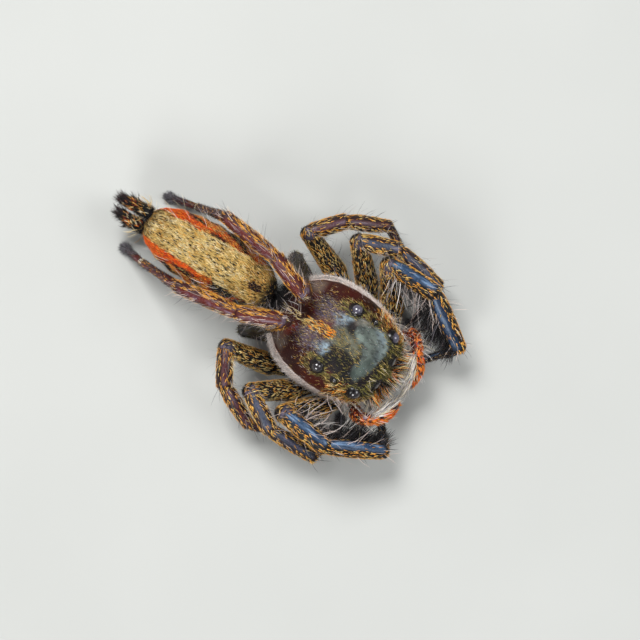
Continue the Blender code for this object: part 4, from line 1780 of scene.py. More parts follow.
        sides = Coat("coat_abdomen_sides", "abdomen_coat", FINE_HAIR, [hide], SEED + 12)
        sides.grow(
            Layer("flame flame rust", 900, (0.14, 0.24), 0.028, 12, 7, 15, 1, where=self.rim, root=0.5),
            Layer("flame orange flame", 300, (0.16, 0.26), 0.030, 16, 8, 15, where=self.rim, root=0.7),
            Layer("gold orange straw", 460, (0.14, 0.22), 0.026, 13, 8, 12, where=self.edging, root=0.85),
            Layer("flame orange rust amber", 560, (0.14, 0.24), 0.024, 14, 8, 16, 1,
                where=self.blaze, root=0.75),
            Layer("gold amber straw", 110, (0.16, 0.26), 0.026, 16, 8, 16, where=self.blaze, root=0.85),
            Layer("jet jet smoke", 430, (0.14, 0.26), 0.024, 14, 8, 16, 1,
                where=lambda s: (1 - self.band(s)) * (1 - 0.95 * self.rim(s)) * (1 - 0.85 * self.blaze(s))
                * (s.local[:, 2] > 1.1)),
            # Black hair round the abdomen's front end stands for the shade at the waist
            Layer("jet smoke", 380, (0.30, 0.50), 0.026, 30, 20, 24,
                where=lambda s: (1 - ease(0.03, 0.07, s.share)) * (s.point[:, 2] > 0.9)),
            Layer("straw tan amber", 60, (0.18, 0.30), 0.024, 18, 9, 18,
                where=lambda s: (1 - self.band(s)) * (1 - self.rim(s)) * (s.local[:, 2] > 1.2)),
            Layer("smoke grey tan", 200, (0.14, 0.24), 0.022, 12, 7, 16, 1,
                where=lambda s: 1 - ease(0.9, 1.5, s.local[:, 2])),
            Layer("silver cream white", 6.0, (0.5, 0.9), 0.020, 44, 26, 18, 4,
                where=lambda s: 1 - self.band(s), wave=8, root=0.8),
        )
        return [back, sides]

    def ends(self, points: Array) -> Array:
        """1 at the darker ends of the straw band."""
        return ease(0.28, 0.46, np.abs(self.share(points) - 0.56) + 0.10 * (mottle(points, 0.5, 27) - 0.5))

    @staticmethod
    def grain(sites: Sites) -> Array:
        """Random streaks that run along the abdomen."""
        return mottle(sites.local * (0.35, 1.5, 1.0), 0.22, 41)

    def edging(self, sites: Sites) -> Array:
        """1 on the thin gold line round the rear end of the flame rim.

        Args:
            sites: Places on it.

        Returns:
            The mask.
        """
        p = sites.local
        share = self.share(p)
        beside = within(np.abs(p[:, 1]), 0.98, 1.30, 0.05) * ease(0.78, 0.92, share) * (p[:, 2] > 1.6)
        behind = ease(0.955, 0.975, share) * (p[:, 2] > 1.5)
        return np.maximum(beside, behind) * (1 - self.band(sites))

    def spinnerets(self) -> list[Hide]:
        """The four spinnerets, each of a long joint and a short one.

        Returns:
            Their stretches of skin.
        """
        hides = []
        for name, root, tip, radius in self.SPINNERETS:
            root = np.array(root)
            radii = [radius * share for share in self.SPINNERET_TAPER]
            path = (root - BACKWARD * self.SPINNERET_SUNK, root, np.array(tip))
            hides.append(limb(name, path, radii, 30, 24).carried(self.turn()))
        return hides

    @staticmethod
    def spinneret_marks(sites: Sites) -> tuple[Array, Array]:
        """The spinnerets' markings: black, browner at the joint."""
        tint = tinted(plain(sites, Paint.JET), 0.5 * within(sites.share, 0.60, 0.70, 0.05), Paint.TAN)
        return tint, sites.level(0.3)

    def brushes(self, hides: Sequence[Hide]) -> Coat:
        """Grow the spinnerets' hair.

        Args:
            hides: Their skin.

        Returns:
            The coat.
        """
        coat = Coat("coat_spinnerets", "spinneret_brush", DARK_HAIR, hides, SEED + 13)
        coat.grow(
            Layer("jet jet smoke", 560, (0.20, 0.38), 0.026, 22, 10, 20, wave=10),
            Layer("smoke plum violet_brown jet", 520, (0.36, 0.70), 0.026, 16, 4, 18, 3,
                where=lambda s: ease(0.72, 0.95, s.share), wave=14),
            Layer("orange rust gold tan cream", 150, (0.16, 0.28), 0.026, 18, 8, 18,
                where=lambda s: within(s.share, 0.12, 0.97, 0.08) * ease(0.38, 0.6, mottle(s.local, 0.2, 49)),
                root=0.85, above=0.05),
            Layer("cream straw gold", 100, (0.5, 0.9), 0.028, 60, 60, 24, 5,
                where=lambda s: within(s.share, 0.02, 0.34, 0.05) * np.maximum(stripe(s.turn, 0, 46, 12),
                stripe(s.turn, 180, 46, 12)), root=0.85),
        )
        return coat


@dataclass
class Underside:
    """The sternum, the mouthparts and the waist."""

    FORMS = (
        ("sternum", (-0.30, 0.0, 0.98), (1.35, 0.52, 0.42)),
        ("mouthparts", (1.52, 0.0, 1.00), (0.26, 0.42, 0.36)),
    )

    def hides(self) -> list[Hide]:
        """Their stretches of skin.

        Returns:
            The three stretches.
        """
        angles = np.radians(np.linspace(178, 2, 36))
        profile = [(math.cos(a), math.sin(a)) for a in angles]
        hides = []
        for name, centre, half in self.FORMS:
            made = turned_form(name, np.zeros(3), -BACKWARD, profile)
            made.rings = made.rings * np.array(half) * 0.95 + centre
            made.local = made.rings.copy()
            hides.append(made)
        root, end = (np.array(point) for point in PEDICEL)
        reach = unit(end - root) * 0.32
        hides.append(limb("waist", (root - reach, end + reach), (0.22, 0.19, 0.17, 0.19, 0.22), 24, 24))
        return hides

    @staticmethod
    def marks(sites: Sites) -> tuple[Array, Array]:
        """Dark brown, redder in random blotches."""
        tint = plain(sites, Paint.PLUM)
        return tinted(tint, 0.5 * mottle(sites.point, 0.5, 51), Paint.MAHOGANY), sites.level(0.6)

    @staticmethod
    def coat(hides: Sequence[Hide]) -> Coat:
        """Grow the hair of the underside.

        Args:
            hides: Its skin.

        Returns:
            The coat.
        """
        coat = Coat("coat_underside", "underside_skin", FINE_HAIR, hides, SEED + 21)
        coat.grow(Layer("silver tan smoke", 90, (0.16, 0.30), 0.026, 20, 10, 24))
        return coat


@dataclass
class Mouth:
    """The chelicerae with their fangs, and the two palps held before the face."""

    CHELICERA_ROOT = (2.18, 0.53, 1.42)
    CHELICERA_TIP = (2.46, 0.45, 0.66)
    FANG_TIP = (2.32, 0.28, 0.44)
    PALP_ARM = ((1.86, 1.24, 1.02), (2.16, 1.70, 1.20), (2.50, 2.04, 1.64), (2.84, 1.94, 2.00))
    PALP_HAND = ((2.84, 1.94, 2.00), (3.20, 1.60, 2.04), (3.50, 1.12, 1.92), (3.66, 0.52, 1.60))
    PALP_KNEE = (2.86, 1.94, 2.24)
    PALP_SWAY = 0.20

    def jaw(self, side: Side) -> list[Hide]:
        """One chelicera and its fang.

        Args:
            side: The animal's side.

        Returns:
            Their stretches of skin.
        """
        root, tip, point = (np.array(p) for p in (self.CHELICERA_ROOT, self.CHELICERA_TIP, self.FANG_TIP))
        body = limb(f"chelicera_{side.word}", (root, (root + tip) / 2 + (0.04, 0, 0), tip),
            (0.30, 0.37, 0.385, 0.34, 0.27), 40, 40)
        bend = (tip + point) / 2 + np.array((0.03, 0.05, -0.05))
        fang = limb(f"fang_{side.word}", (tip, bend, point), (0.14, 0.12, 0.09, 0.05, 0.015), 24, 20)
        return on_side([body, fang], side)

    @staticmethod
    def jaw_marks(sites: Sites) -> tuple[Array, Array]:
        """Dark polished brown, redder at the tips."""
        tint = tinted(plain(sites, Paint.DEEP_MAHOGANY), ease(0.5, 1.0, sites.share), Paint.RED_BROWN)
        return tint, sites.level(1.0)

    def palp(self, side: Side) -> list[Hide]:
        """One palp: two joints of its arm, then its shin and its long bulb.

        Args:
            side: The animal's side.

        Returns:
            Its stretches of skin.
        """
        arm, hand = np.array(self.PALP_ARM), np.array(self.PALP_HAND)
        hand[:, 1] -= self.PALP_SWAY * side.value
        arm[-1] = hand[0] = (arm[-1] + hand[0]) / 2
        line = spline(hand, 31)
        hides = [
            limb(f"palp_{side.word}_root", spline(arm[:3], 9)[:6], (0.18, 0.20, 0.21, 0.22, 0.20), 20, 24),
            limb(f"palp_{side.word}_arm", spline(arm, 31)[12:], (0.18, 0.22, 0.23, 0.23, 0.21), 24, 24),
            limb(f"palp_{side.word}_knee", line[:9], (0.18, 0.22, 0.22, 0.20), 20, 24),
            limb(f"palp_{side.word}_bulb", line[8:], (0.19, 0.25, 0.27, 0.28, 0.25, 0.20, 0.13), 40, 32),
        ]
        return on_side(hides, side)

    @staticmethod
    def palp_marks(sites: Sites) -> tuple[Array, Array]:
        """Dark rust under the orange scales, with a pale violet knee.

        Args:
            sites: Places on it.

        Returns:
            The tint and the gloss at each.
        """
        tint = tinted(plain(sites, Paint.DEEP_MAHOGANY), 0.45 * mottle(sites.local, 0.3, 61), Paint.RUST)
        knee = 1 - ease(0.04, 0.18, Mouth.from_knee(sites))
        return tinted(tint, 0.6 * knee, Paint.PALE_LAVENDER), sites.level(0.7)

    @staticmethod
    def from_knee(sites: Sites) -> Array:
        """How far a place is from the top of a palp's knee, in mm."""
        return np.linalg.norm(sites.local - np.array(Mouth.PALP_KNEE), axis=1)

    def coat(self, jaws: Sequence[Hide], palps: dict[Side, list[Hide]]) -> list[Coat]:
        """Grow the hair of the mouth.

        Args:
            jaws: The skin of the chelicerae and fangs.
            palps: The skin of the palps, by side.

        Returns:
            The coats.
        """
        bodies = [hide for hide in jaws if "chelicera" in hide.name]
        jaw = Coat("coat_chelicerae", "jaw_shell", FINE_HAIR, jaws, SEED + 31)
        jaw.grow(
            Layer("jet smoke", 240, (0.20, 0.40), 0.024, 34, 10, 20, 2),
            Layer("white orange pink_white", 130, (0.24, 0.44), 0.026, 24, 12, 16, 3,
                where=lambda s: (1 - ease(0.35, 0.6, s.share)) * (s.out[:, 0] > 0.1)),
            Layer("smoke tan", 60, (0.16, 0.3), 0.020, 26, 10, 18),
            only=bodies,
        )
        return [jaw, *(self.palp_coat(side, hides) for side, hides in palps.items())]

    @staticmethod
    def palp_coat(side: Side, hides: Sequence[Hide]) -> Coat:
        """Grow one palp's orange scales and its cream fringe.

        Args:
            side: The animal's side.
            hides: The palp's skin.

        Returns:
            The coat.
        """
        def towards_face(sites: Sites) -> Array:
            """Along the palp and in towards the face."""
            return sites.facing(np.array((-0.60, -0.30 * side.value, 0.0))) * 0.15 + sites.along

        def inner(sites: Sites) -> Array:
            """1 on the side that faces the head."""
            return ease(0.40, 0.62, sites.out @ unit(np.array((-0.8, -0.5 * side.value, 0.45))))

        def off_knee(sites: Sites) -> Array:
            """0 on the palp's bare knee, 1 elsewhere."""
            return ease(0.06, 0.16, Mouth.from_knee(sites))

        upper, bulb = hides[1:], hides[3:]
        coat = Coat(f"coat_palp_{side.word}", "palp_coat", SCALE_HAIR, hides, SEED + 32 + side.value)
        coat.grow(
            Layer("jet smoke rust", 420, (0.12, 0.20), 0.024, 14, 8, 18, 1, where=off_knee),
            Layer("orange flame orange", 400, (0.15, 0.24), 0.048, 22, 8, 12,
                where=lambda s: off_knee(s) * (1 - 0.9 * inner(s)) * ease(0.26, 0.5,
                mottle(s.local, 0.13, 63)), root=0.8, above=0.03),
            only=upper,
        )
        coat.grow(Layer("amber jet tan", 260, (0.14, 0.24), 0.026, 16, 8, 18), only=hides[:1])
        coat.grow(Layer("white white cream grey", 420, (0.50, 0.90), 0.024, 22, 12, 7, 4,
            where=inner, flow=towards_face, wave=5, root=0.8, above=0.03), only=bulb)
        coat.grow(Layer("white silver cream", 60, (0.45, 0.85), 0.018, 50, 30, 30, 5,
            where=lambda s: 1 - 0.4 * inner(s), wave=18, root=0.85), only=hides[:3])
        coat.grow(Layer("white cream", 18, (0.35, 0.6), 0.018, 46, 20, 24, 4,
            where=lambda s: 1 - inner(s), wave=14, root=0.85), only=bulb)
        return coat


@dataclass(frozen=True)
class LegStyle:
    """How one pair of legs is coloured."""

    femur: Paint
    shell: Paint
    band: Paint
    femur_band: float
    stripe_centre: float
    stripe_half: float
    dashes: str
    edge: str
    bristles: str
    toe: str


@dataclass
class Leg:
    """One leg, in seven joints, with its stripes, scales, bristles and claws."""

    number: int
    side: Side

    LENGTHS = {
        1: (3.18, 2.26, 2.74, 1.90, 0.92),
        2: (3.12, 1.82, 2.35, 1.60, 0.80),
        3: (3.10, 1.66, 2.05, 1.85, 0.85),
        4: (3.68, 1.98, 3.02, 2.60, 1.40),
    }
    RADII = {
        1: (0.33, 0.30, 0.52, 0.43, 0.43, 0.39, 0.33, 0.25, 0.22),
        2: (0.31, 0.28, 0.50, 0.40, 0.39, 0.36, 0.30, 0.24, 0.21),
        3: (0.31, 0.28, 0.49, 0.39, 0.38, 0.36, 0.29, 0.24, 0.21),
        4: (0.34, 0.32, 0.38, 0.37, 0.38, 0.36, 0.31, 0.25, 0.20),
    }
    COXA_ROOTS = {1: (0.84, 0.98, 0.92), 2: (0.06, 1.06, 0.90), 3: (-0.72, 1.06, 0.90),
        4: (-1.46, 0.96, 0.94)}
    HIPS = {1: (1.62, 2.08, 0.80), 2: (0.34, 2.24, 0.76), 3: (-0.98, 2.24, 0.76), 4: (-3.42, 1.87, 1.15)}
    FEMUR_SAG = {1: 0.46, 2: 0.46, 3: 0.44, 4: 0.0}
    # Each joint's heading from straight ahead towards its own side and its rise, and the toe's heading
    POSES = {
        (1, Side.LEFT): ((133, 41), (4, -5), (-29, -21), (-128, -31), -130),
        (1, Side.RIGHT): ((133, 41), (3, -4), (-31, -22), (-130, -31), -128),
        (2, Side.LEFT): ((140, 33), (23, -9), (-5, -20), (-86, -28), -100),
        (2, Side.RIGHT): ((141, 33), (27, -9), (-4, -21), (-84, -28), -102),
        (3, Side.LEFT): ((164, 29), (53, -9), (31, -22), (-24, -20), -40),
        (3, Side.RIGHT): ((165, 28), (56, -9), (22, -21), (-20, -20), -44),
        (4, Side.LEFT): ((-45, 61), (161, -15), (175, -21), (-170, -60), -165),
        (4, Side.RIGHT): ((-44, 63), (154, -16), (169, -20), (-179, -44), -174),
    }
    TOE_SINK = 0.06
    FEMUR_DEPTH = 1.12
    STYLES = {
        1: LegStyle(Paint.JET, Paint.JET, Paint.STEEL, 0.0, 112, 30,
                    "gold amber straw", "gold amber gold", "pink_white smoke", "jet smoke"),
        2: LegStyle(Paint.JET, Paint.PLUM, Paint.BLUE_GREY, 0.0, 92, 25,
                    "gold straw gold", "gold straw gold", "silver grey smoke", "smoke grey"),
        3: LegStyle(Paint.JET, Paint.PLUM, Paint.VIOLET_BROWN, 0.0, 92, 22,
                    "gold amber straw", "gold amber gold", "silver grey smoke", "smoke grey"),
        4: LegStyle(Paint.MAROON, Paint.MAROON, Paint.ROSE_BROWN, 1.0, 84, 26,
                    "gold amber gold", "gold amber gold", "pink_white silver grey", "grey grey smoke"),
    }
    KNEE_STRIPE = {Side.LEFT: 66, Side.RIGHT: 112}
    # Turn of the hind legs' mauve stripe on each side, set where the light glances: a painted highlight
    REAR_SHEEN_STRIPE = {Side.LEFT: 58, Side.RIGHT: 120}
    REAR_DASHES = {Side.LEFT: ((104, 11), (146, 16)), Side.RIGHT: ((38, 15), (76, 11))}
    EDGE_LINE = (14, 8)

    @property
    def name(self) -> str:
        """The leg's name in piece and node names."""
        return f"leg_{self.number}_{self.side.word}"

    @property
    def style(self) -> LegStyle:
        """How the leg is coloured."""
        return self.STYLES[self.number]

    def joints(self) -> list[Array]:
        """Where the leg's segments meet, from hip to toe, drawn on the left side.

        Returns:
            Six points, in mm.
        """
        joints = [np.array(self.HIPS[self.number])]
        lengths, pose = self.LENGTHS[self.number], self.POSES[(self.number, self.side)]
        for length, turn in zip(lengths, pose[:4]):
            heading, rise = (math.radians(angle) for angle in turn)
            flat = length * math.cos(rise)
            step = (flat * math.cos(heading), flat * math.sin(heading), length * math.sin(rise))
            joints.append(joints[-1] + step)
        drop = joints[-1][2] - (self.RADII[self.number][-1] * 0.8 - self.TOE_SINK)
        flat = math.sqrt(max(lengths[4] ** 2 - drop**2, 0.01))
        heading = math.radians(pose[4])
        joints.append(joints[-1] + (flat * math.cos(heading), flat * math.sin(heading), -drop))
        return joints

    def hides(self) -> dict[Segment, Hide]:
        """The leg's stretches of skin.

        Returns:
            One for each joint of the leg.
        """
        hip, knee, bend, ankle, foot, toe = self.joints()
        radii = [radius * LIMB_COAT_SHARE for radius in self.RADII[self.number]]
        coxa_r, root_r, femur_r, knee_r, patella_r, tibia_r, ankle_r, foot_r, toe_r = radii
        coxa_root = np.array(self.COXA_ROOTS[self.number])
        belly = hip + (knee - hip) * 0.4 - UP * self.FEMUR_SAG[self.number]
        start = hip + unit(belly - hip) * 0.10
        knee_top = knee + (bend - knee) * 0.5 + UP * 0.03
        shin_top = bend + (ankle - bend) * 0.5 + UP * 0.02
        forms = {
            COXA: ((coxa_root, hip), (coxa_r * 0.9, coxa_r, coxa_r, root_r), 26, 32),
            TROCHANTER: ((hip - unit(hip - coxa_root) * 0.06, start), (root_r * 1.02, root_r * 1.04,
                root_r * 0.98), 14, 32),
            FEMUR: ((hip, belly, knee), (root_r * 0.80, root_r * 1.05, femur_r * 0.97, femur_r,
                femur_r * 0.92, knee_r, knee_r * 0.96), 70, 44, self.FEMUR_DEPTH),
            PATELLA: ((knee, knee_top, bend), (knee_r * 0.74, knee_r * 0.92, patella_r, patella_r,
                patella_r * 0.98, tibia_r * 0.98), 54, 40),
            TIBIA: ((bend, shin_top, ankle), (tibia_r * 0.76, tibia_r * 0.94, tibia_r, tibia_r * 0.96,
                ankle_r * 1.04, ankle_r * 0.96), 60, 40),
            METATARSUS: ((ankle, foot), (ankle_r * 0.66, ankle_r * 0.76, foot_r * 0.72, foot_r * 0.70,
                foot_r * 0.74), 44, 32),
            TARSUS: ((foot, foot + (toe - foot) * 0.5, toe), (foot_r * 0.58, foot_r * 0.66, toe_r * 0.70,
                toe_r * 0.72), 34, 28),
        }
        made = {segment: limb(f"{self.name}_{segment.value}", *form) for segment, form in forms.items()}
        if self.side is Side.RIGHT:
            made = {segment: hide.mirrored() for segment, hide in made.items()}
        return made

    def band(self, segment: Segment, sites: Sites, share: float = 1.0) -> Array:
        """1 on the bare satin stripe along the back of a joint; on the hind legs it is set where the light
        glances, a painted highlight.

        Args:
            segment: The joint.
            sites: Places on it.
            share: How much of the stripe's width is meant.

        Returns:
            The mask.
        """
        style = self.style
        tibia = 1.25 if self.number == 1 else 1.0
        halves = {PATELLA: 0.95, TIBIA: tibia, METATARSUS: 0.8, TARSUS: 0.5, FEMUR: style.femur_band}
        half = style.stripe_half * halves.get(segment, 0.0) * share
        if half == 0:
            return sites.level(0.0)
        wander = 12 * (mottle(sites.local, 0.4, 71 + self.number) - 0.5)
        ends = within(sites.share, 0.08, 0.93, 0.05)
        at = style.stripe_centre
        # Hind legs: the mauve stripe sits where the light glances, so it is partly a painted highlight
        if self.number == 4:
            at = self.REAR_SHEEN_STRIPE[self.side]
        elif (self.number, segment) == (1, PATELLA):
            at = self.KNEE_STRIPE[self.side]
        elif (self.number, segment) == (1, TIBIA):
            at = style.stripe_centre + 8
        return stripe(sites.turn, at + wander, half, 7) * ends

    def marks(self, segment: Segment) -> Marks:
        """The markings of one joint.

        Args:
            segment: The joint.

        Returns:
            A function that gives the tint and gloss at sites on it.
        """
        style = self.style

        def marked(sites: Sites) -> tuple[Array, Array]:
            """The markings at sites on the joint.

            Args:
                sites: Places on it.

            Returns:
                The tint and the gloss at each.
            """
            upper = segment in (COXA, TROCHANTER, FEMUR)
            tint = plain(sites, style.femur if upper else style.shell)
            if self.number == 1 and segment is METATARSUS:
                tint = plain(sites, Paint.JET)
            tint = tinted(tint, 0.45 * mottle(sites.local, 0.6, 81 + self.number), Paint.JET)
            if segment is COXA:
                tint = tinted(tint, 0.7 * (1 - ease(0.2, 0.9, sites.share)), Paint.MAHOGANY)
            band = self.band(segment, sites)
            # light: streaks that set where the painted highlights fall
            along = np.stack((sites.turn / 24, sites.share * 1.6, 0 * sites.turn), axis=1)
            light = 0.5 * mottle(sites.local, 0.22, 91) + 0.5 * mottle(along, 0.3, 93)
            tint = tinted(tint, band * 0.95, style.band)
            if self.number == 1:
                # The left tibia is painted darker navy than the right, a painted shade on one of the pair
                dark = 0.7 if (self.side, segment) == (Side.LEFT, TIBIA) else 0.3
                # The pale steel core is a painted highlight
                core = self.band(segment, sites, 0.45)
                tint = tinted(tint, band * dark, Paint.NIGHT_BLUE)
                tint = tinted(tint, core * ease(0.35, 0.8, light) * (1.0 - dark), Paint.PALE_STEEL)
            else:
                # The lavender core of the stripe is a painted highlight
                core = self.band(segment, sites, 0.4)
                tint = tinted(tint, core * ease(0.35, 0.85, light) * 0.5, Paint.LAVENDER)
            # The knee's pale lavender, stronger where the light streaks run, is partly a painted sheen
            tint = tinted(tint, self.knee_sheen_patch(segment, sites) * (0.15 + 0.45 * light), Paint.LAVENDER)
            if self.number == 4:
                ring = ease(0.93, 0.97, sites.share) if segment is METATARSUS else sites.level(0.0)
                tint = tinted(tint, ring, Paint.CREAM)
                if segment in (TIBIA, METATARSUS):
                    tint = tinted(tint, 0.6 * ease(0.3, 0.9, sites.share) * (1 - band), Paint.PLUM)
                if upper:
                    low = 1 - ease(0.70, 0.90, sites.share) if segment is FEMUR else sites.level(1.0)
                    tint = tinted(tint, 0.92 * low, Paint.JET)
                    tint = tinted(tint, 0.10 * low * ease(0.3, 0.9, light), Paint.OLIVE)
            gloss = np.clip(0.35 + 0.65 * band, 0, 1)
            return tint, gloss

        return marked

    @staticmethod
    def knee_sheen_patch(segment: Segment, sites: Sites) -> Array:
        """1 on the pale patch over the knee, partly the joint's own pale skin and partly a painted sheen.

        Args:
            segment: The joint.
            sites: Places on it.

        Returns:
            The mask.
        """
        over = stripe(sites.turn, 90, 52, 16)
        if segment is FEMUR:
            return over * ease(0.935, 0.965, sites.share)
        if segment is PATELLA:
            return over * (1 - ease(0.02, 0.07, sites.share))
        if segment is TIBIA:
            return 0.5 * over * (1 - ease(0.01, 0.05, sites.share))
        return sites.level(0.0)

    def coat(self, hides: dict[Segment, Hide]) -> list[Coat]:
        """Grow the leg's hair.

        Args:
            hides: Its skin.

        Returns:
            The coats.
        """
        style, number = self.style, self.number
        slot = "front_leg_shell" if number == 1 else "leg_shell"
        seed = SEED + 100 + 10 * number + self.side.value
        coat = Coat(f"coat_{self.name}", slot, FINE_HAIR, list(hides.values()), seed)
        femur, patella, tibia = hides[FEMUR], hides[PATELLA], hides[TIBIA]
        metatarsus, tarsus = hides[METATARSUS], hides[TARSUS]
        hip = [hides[COXA], hides[TROCHANTER]]

        def off_band(segment: Segment, low: float, high: float, keep: float) -> Field:
            """Make a mask that spares the bare stripe."""
            def masked(sites: Sites) -> Array:
                """1 where the hair grows.

                Args:
                    sites: Places on it.

                Returns:
                    The mask.
                """
                above = within(sites.turn, low, high, 14)
                bare = (1 - keep) * self.band(segment, sites)
                return above * (1 - bare) * (1 - 0.6 * self.knee_sheen_patch(segment, sites))
            return masked

        if number < 4:
            coat.grow(
                Layer("jet smoke jet", 330, (0.12, 0.20), 0.020, 10, 6, 14, 1),
                Layer("gold straw pale_straw straw amber", 100, (0.14, 0.23), 0.032, 11, 6, 12,
                    where=off_band(FEMUR, -40, 230, 1.0), above=0.02, root=0.9),
                Layer("gold amber gold", 64, (0.16, 0.25), 0.032, 11, 6, 14,
                    where=lambda s: stripe(s.turn, 8, 26, 14) * ease(0.1, 0.3, s.share), above=0.02,
                    root=0.9),
                only=[femur],
            )
        edge_per_mm2 = 210 if number == 1 else 170
        per_mm2, over_band = {1: (62, 0.08), 4: (36, 0.2)}.get(number, (74, 0.25))
        for segment in (FEMUR, PATELLA, TIBIA):
            hide = hides[segment]
            if number < 4 and segment is FEMUR:
                continue
            dark = "jet smoke jet" if number < 4 else "mahogany jet maroon"
            coat.grow(Layer(dark, 260, (0.11, 0.18), 0.018, 9, 6, 14, 1,
                where=off_band(segment, -90, 270, 0.25)), only=[hide])
            from_share = 0.72 if segment is FEMUR else 0.02
            coat.grow(
                Layer(style.dashes, per_mm2, (0.14, 0.24), 0.032, 10, 6, 13,
                    where=lambda s: off_band(segment, -30, 220, over_band)(s) * (s.share > from_share),
                    above=0.02, root=0.9),
                Layer(style.edge, edge_per_mm2, (0.15, 0.26), 0.032, 10, 5, 9, above=0.02, root=0.9,
                    where=lambda s: stripe(s.turn, *self.EDGE_LINE, 5) * within(s.share, from_share, 0.97,
                    0.03)),
                only=[hide],
            )
            if number > 1:
                coat.grow(Layer("pink_white cream silver", 60, (0.24, 0.46), 0.020, 24, 8, 16, 3,
                    where=lambda s: stripe(s.turn, 168, 34, 14), wave=8, root=0.8), only=[hide])
            if number == 4:
                for line, half in self.REAR_DASHES[self.side]:
                    coat.grow(Layer(style.dashes, 270, (0.16, 0.28), 0.026, 11, 6, 11,
                        where=lambda s: stripe(s.turn, line, half, 8) * ease(0.30, 0.60,
                        mottle(s.local, 0.40, 47)) * within(s.share, from_share, 0.96, 0.03), above=0.02,
                        root=0.9), only=[hide])
        for hide in (femur, patella, tibia, metatarsus):
            coat.grow(Layer("smoke grey tan", 120, (0.14, 0.24), 0.020, 18, 8, 16, 1,
                where=lambda s: stripe(s.turn, 270, 60, 20)), only=[hide])
        coat.grow(Layer("jet smoke tan", 130, (0.14, 0.24), 0.022, 16, 8, 16, 1), only=hip)
        coat.grow(
            Layer(style.dashes + " smoke", 60, (0.13, 0.20), 0.030, 12, 6, 14, root=0.85),
            Layer("smoke jet grey", 200, (0.14, 0.24), 0.020, 28, 10, 20, 1),
            only=[metatarsus],
        )
        coat.grow(
            Layer(style.toe, 700, (0.14, 0.26), 0.020, 36, 14, 20, 1,
                where=lambda s: ease(0.15, 0.6, s.share)),
            Layer(style.toe + " grey", 900, (0.18, 0.30), 0.020, 60, 20, 28,
                where=lambda s: ease(0.62, 0.88, s.share), root=0.7),
            Layer("smoke tan", 120, (0.10, 0.18), 0.020, 14, 8, 14,
                where=lambda s: 1 - ease(0.3, 0.6, s.share)),
            only=[tarsus],
        )
        if number == 4:
            coat.grow(Layer("olive smoke smoke jet", 240, (0.16, 0.28), 0.022, 16, 9, 18, 1,
                where=lambda s: 1 - 0.8 * ease(0.6, 0.8, s.share), root=0.55), only=[femur])
            coat.grow(Layer("olive grey silver", 90, (0.18, 0.30), 0.022, 20, 10, 20, 2, root=0.7), only=hip)
            coat.grow(Layer("cream white", 300, (0.10, 0.16), 0.024, 12, 6, 10,
                where=lambda s: ease(0.88, 0.95, s.share), root=0.85), only=[metatarsus])
        coat.grow(Layer(style.bristles, 14.0 if number == 4 else 10.0, (0.40, 0.90), 0.017, 52, 24, 22, 4,
            where=lambda s: ease(0.05, 0.15, s.share) * (1 - stripe(s.turn, 300, 50, 12)), wave=8, root=0.8),
            only=[femur, patella, tibia])
        coat.grow(Layer("jet", 1.6, (0.34, 0.50), 0.045, 36, 4, 10, 3,
            where=lambda s: stripe(s.turn, 270, 70, 20)), only=[tibia, metatarsus])
        return [coat, *(self.fringes(hides) if number == 1 else [])]

    def fringes(self, hides: dict[Segment, Hide]) -> list[Coat]:
        """Grow the pale fringe and the long dark brush of a front leg.

        Args:
            hides: The leg's skin.

        Returns:
            The two coats.
        """
        _, _, bend, ankle, foot, _ = self.joints()
        inner = unit(foot - ankle) * (1, self.side.value, 1)
        way = unit(ankle - bend) * (1, self.side.value, 1)
        aside = unit(inner - way * float(inner @ way))

        def reach(sideways: float, down: float) -> Field:
            """One way for all hairs: along the shin, sideways and down."""
            lie = unit(way + aside * sideways - UP * down)
            return lambda sites: sites.facing(lie)

        def beneath(centre: float, half: float, low: float, high: float) -> Field:
            """A mask on the under side, between two shares of the joint."""
            return lambda sites: stripe(sites.turn, centre, half, 14) * within(sites.share, low, high, 0.04)

        parts = [hides[segment] for segment in (FEMUR, PATELLA, TIBIA)]
        femur, patella, tibia = parts
        seed = SEED + 200 + self.side.value
        fringe = Coat(f"fringe_{self.name}", "front_leg_shell", SILKY_HAIR, parts, seed)
        fringe.grow(
            Layer("pink_white white silver pink_white", 66, (1.0, 1.9), 0.029, 36, 22, 15, 6,
                where=beneath(186, 34, 0.12, 0.98), flow=reach(0.60, 0.0), wave=15, root=0.7),
            Layer("smoke jet", 340, (0.5, 0.95), 0.030, 30, 0, 20, 4,
                where=beneath(215, 50, 0.12, 0.98), flow=reach(0.55, 0.4), wave=14),
            only=[patella],
        )
        fringe.grow(Layer("pink_white silver", 18, (0.5, 0.9), 0.020, 40, 20, 40, 5,
            where=beneath(120, 46, 0.66, 0.97), wave=30, root=0.8), only=[femur])
        fringe.grow(Layer("pink_white silver grey", 56, (0.9, 1.5), 0.028, 34, 4, 14, 6,
            where=beneath(190, 40, 0.00, 0.62 if self.side is Side.RIGHT else 0.26), flow=reach(0.45, 0.1),
            wave=14, root=0.8), only=[tibia])
        brush = Coat(f"brush_{self.name}", "front_leg_shell", DARK_HAIR, parts, seed + 5)
        for low, high, longest in ((0.02, 0.50, 1.90), (0.50, 0.92, 1.20)):
            brush.grow(
                Layer("jet smoke jet", 520, (0.6 * longest, longest), 0.033, 34, -4, 14, 4,
                    where=beneath(222, 60, low, high), flow=reach(0.55, 0.25), wave=10),
                Layer("grey smoke smoke", 40, (0.6 * longest, longest), 0.024, 34, -4, 16, 5,
                    where=beneath(205, 50, low, high), flow=reach(0.60, 0.15), wave=12, root=0.7),
                only=[tibia],
            )
        return [fringe, brush]

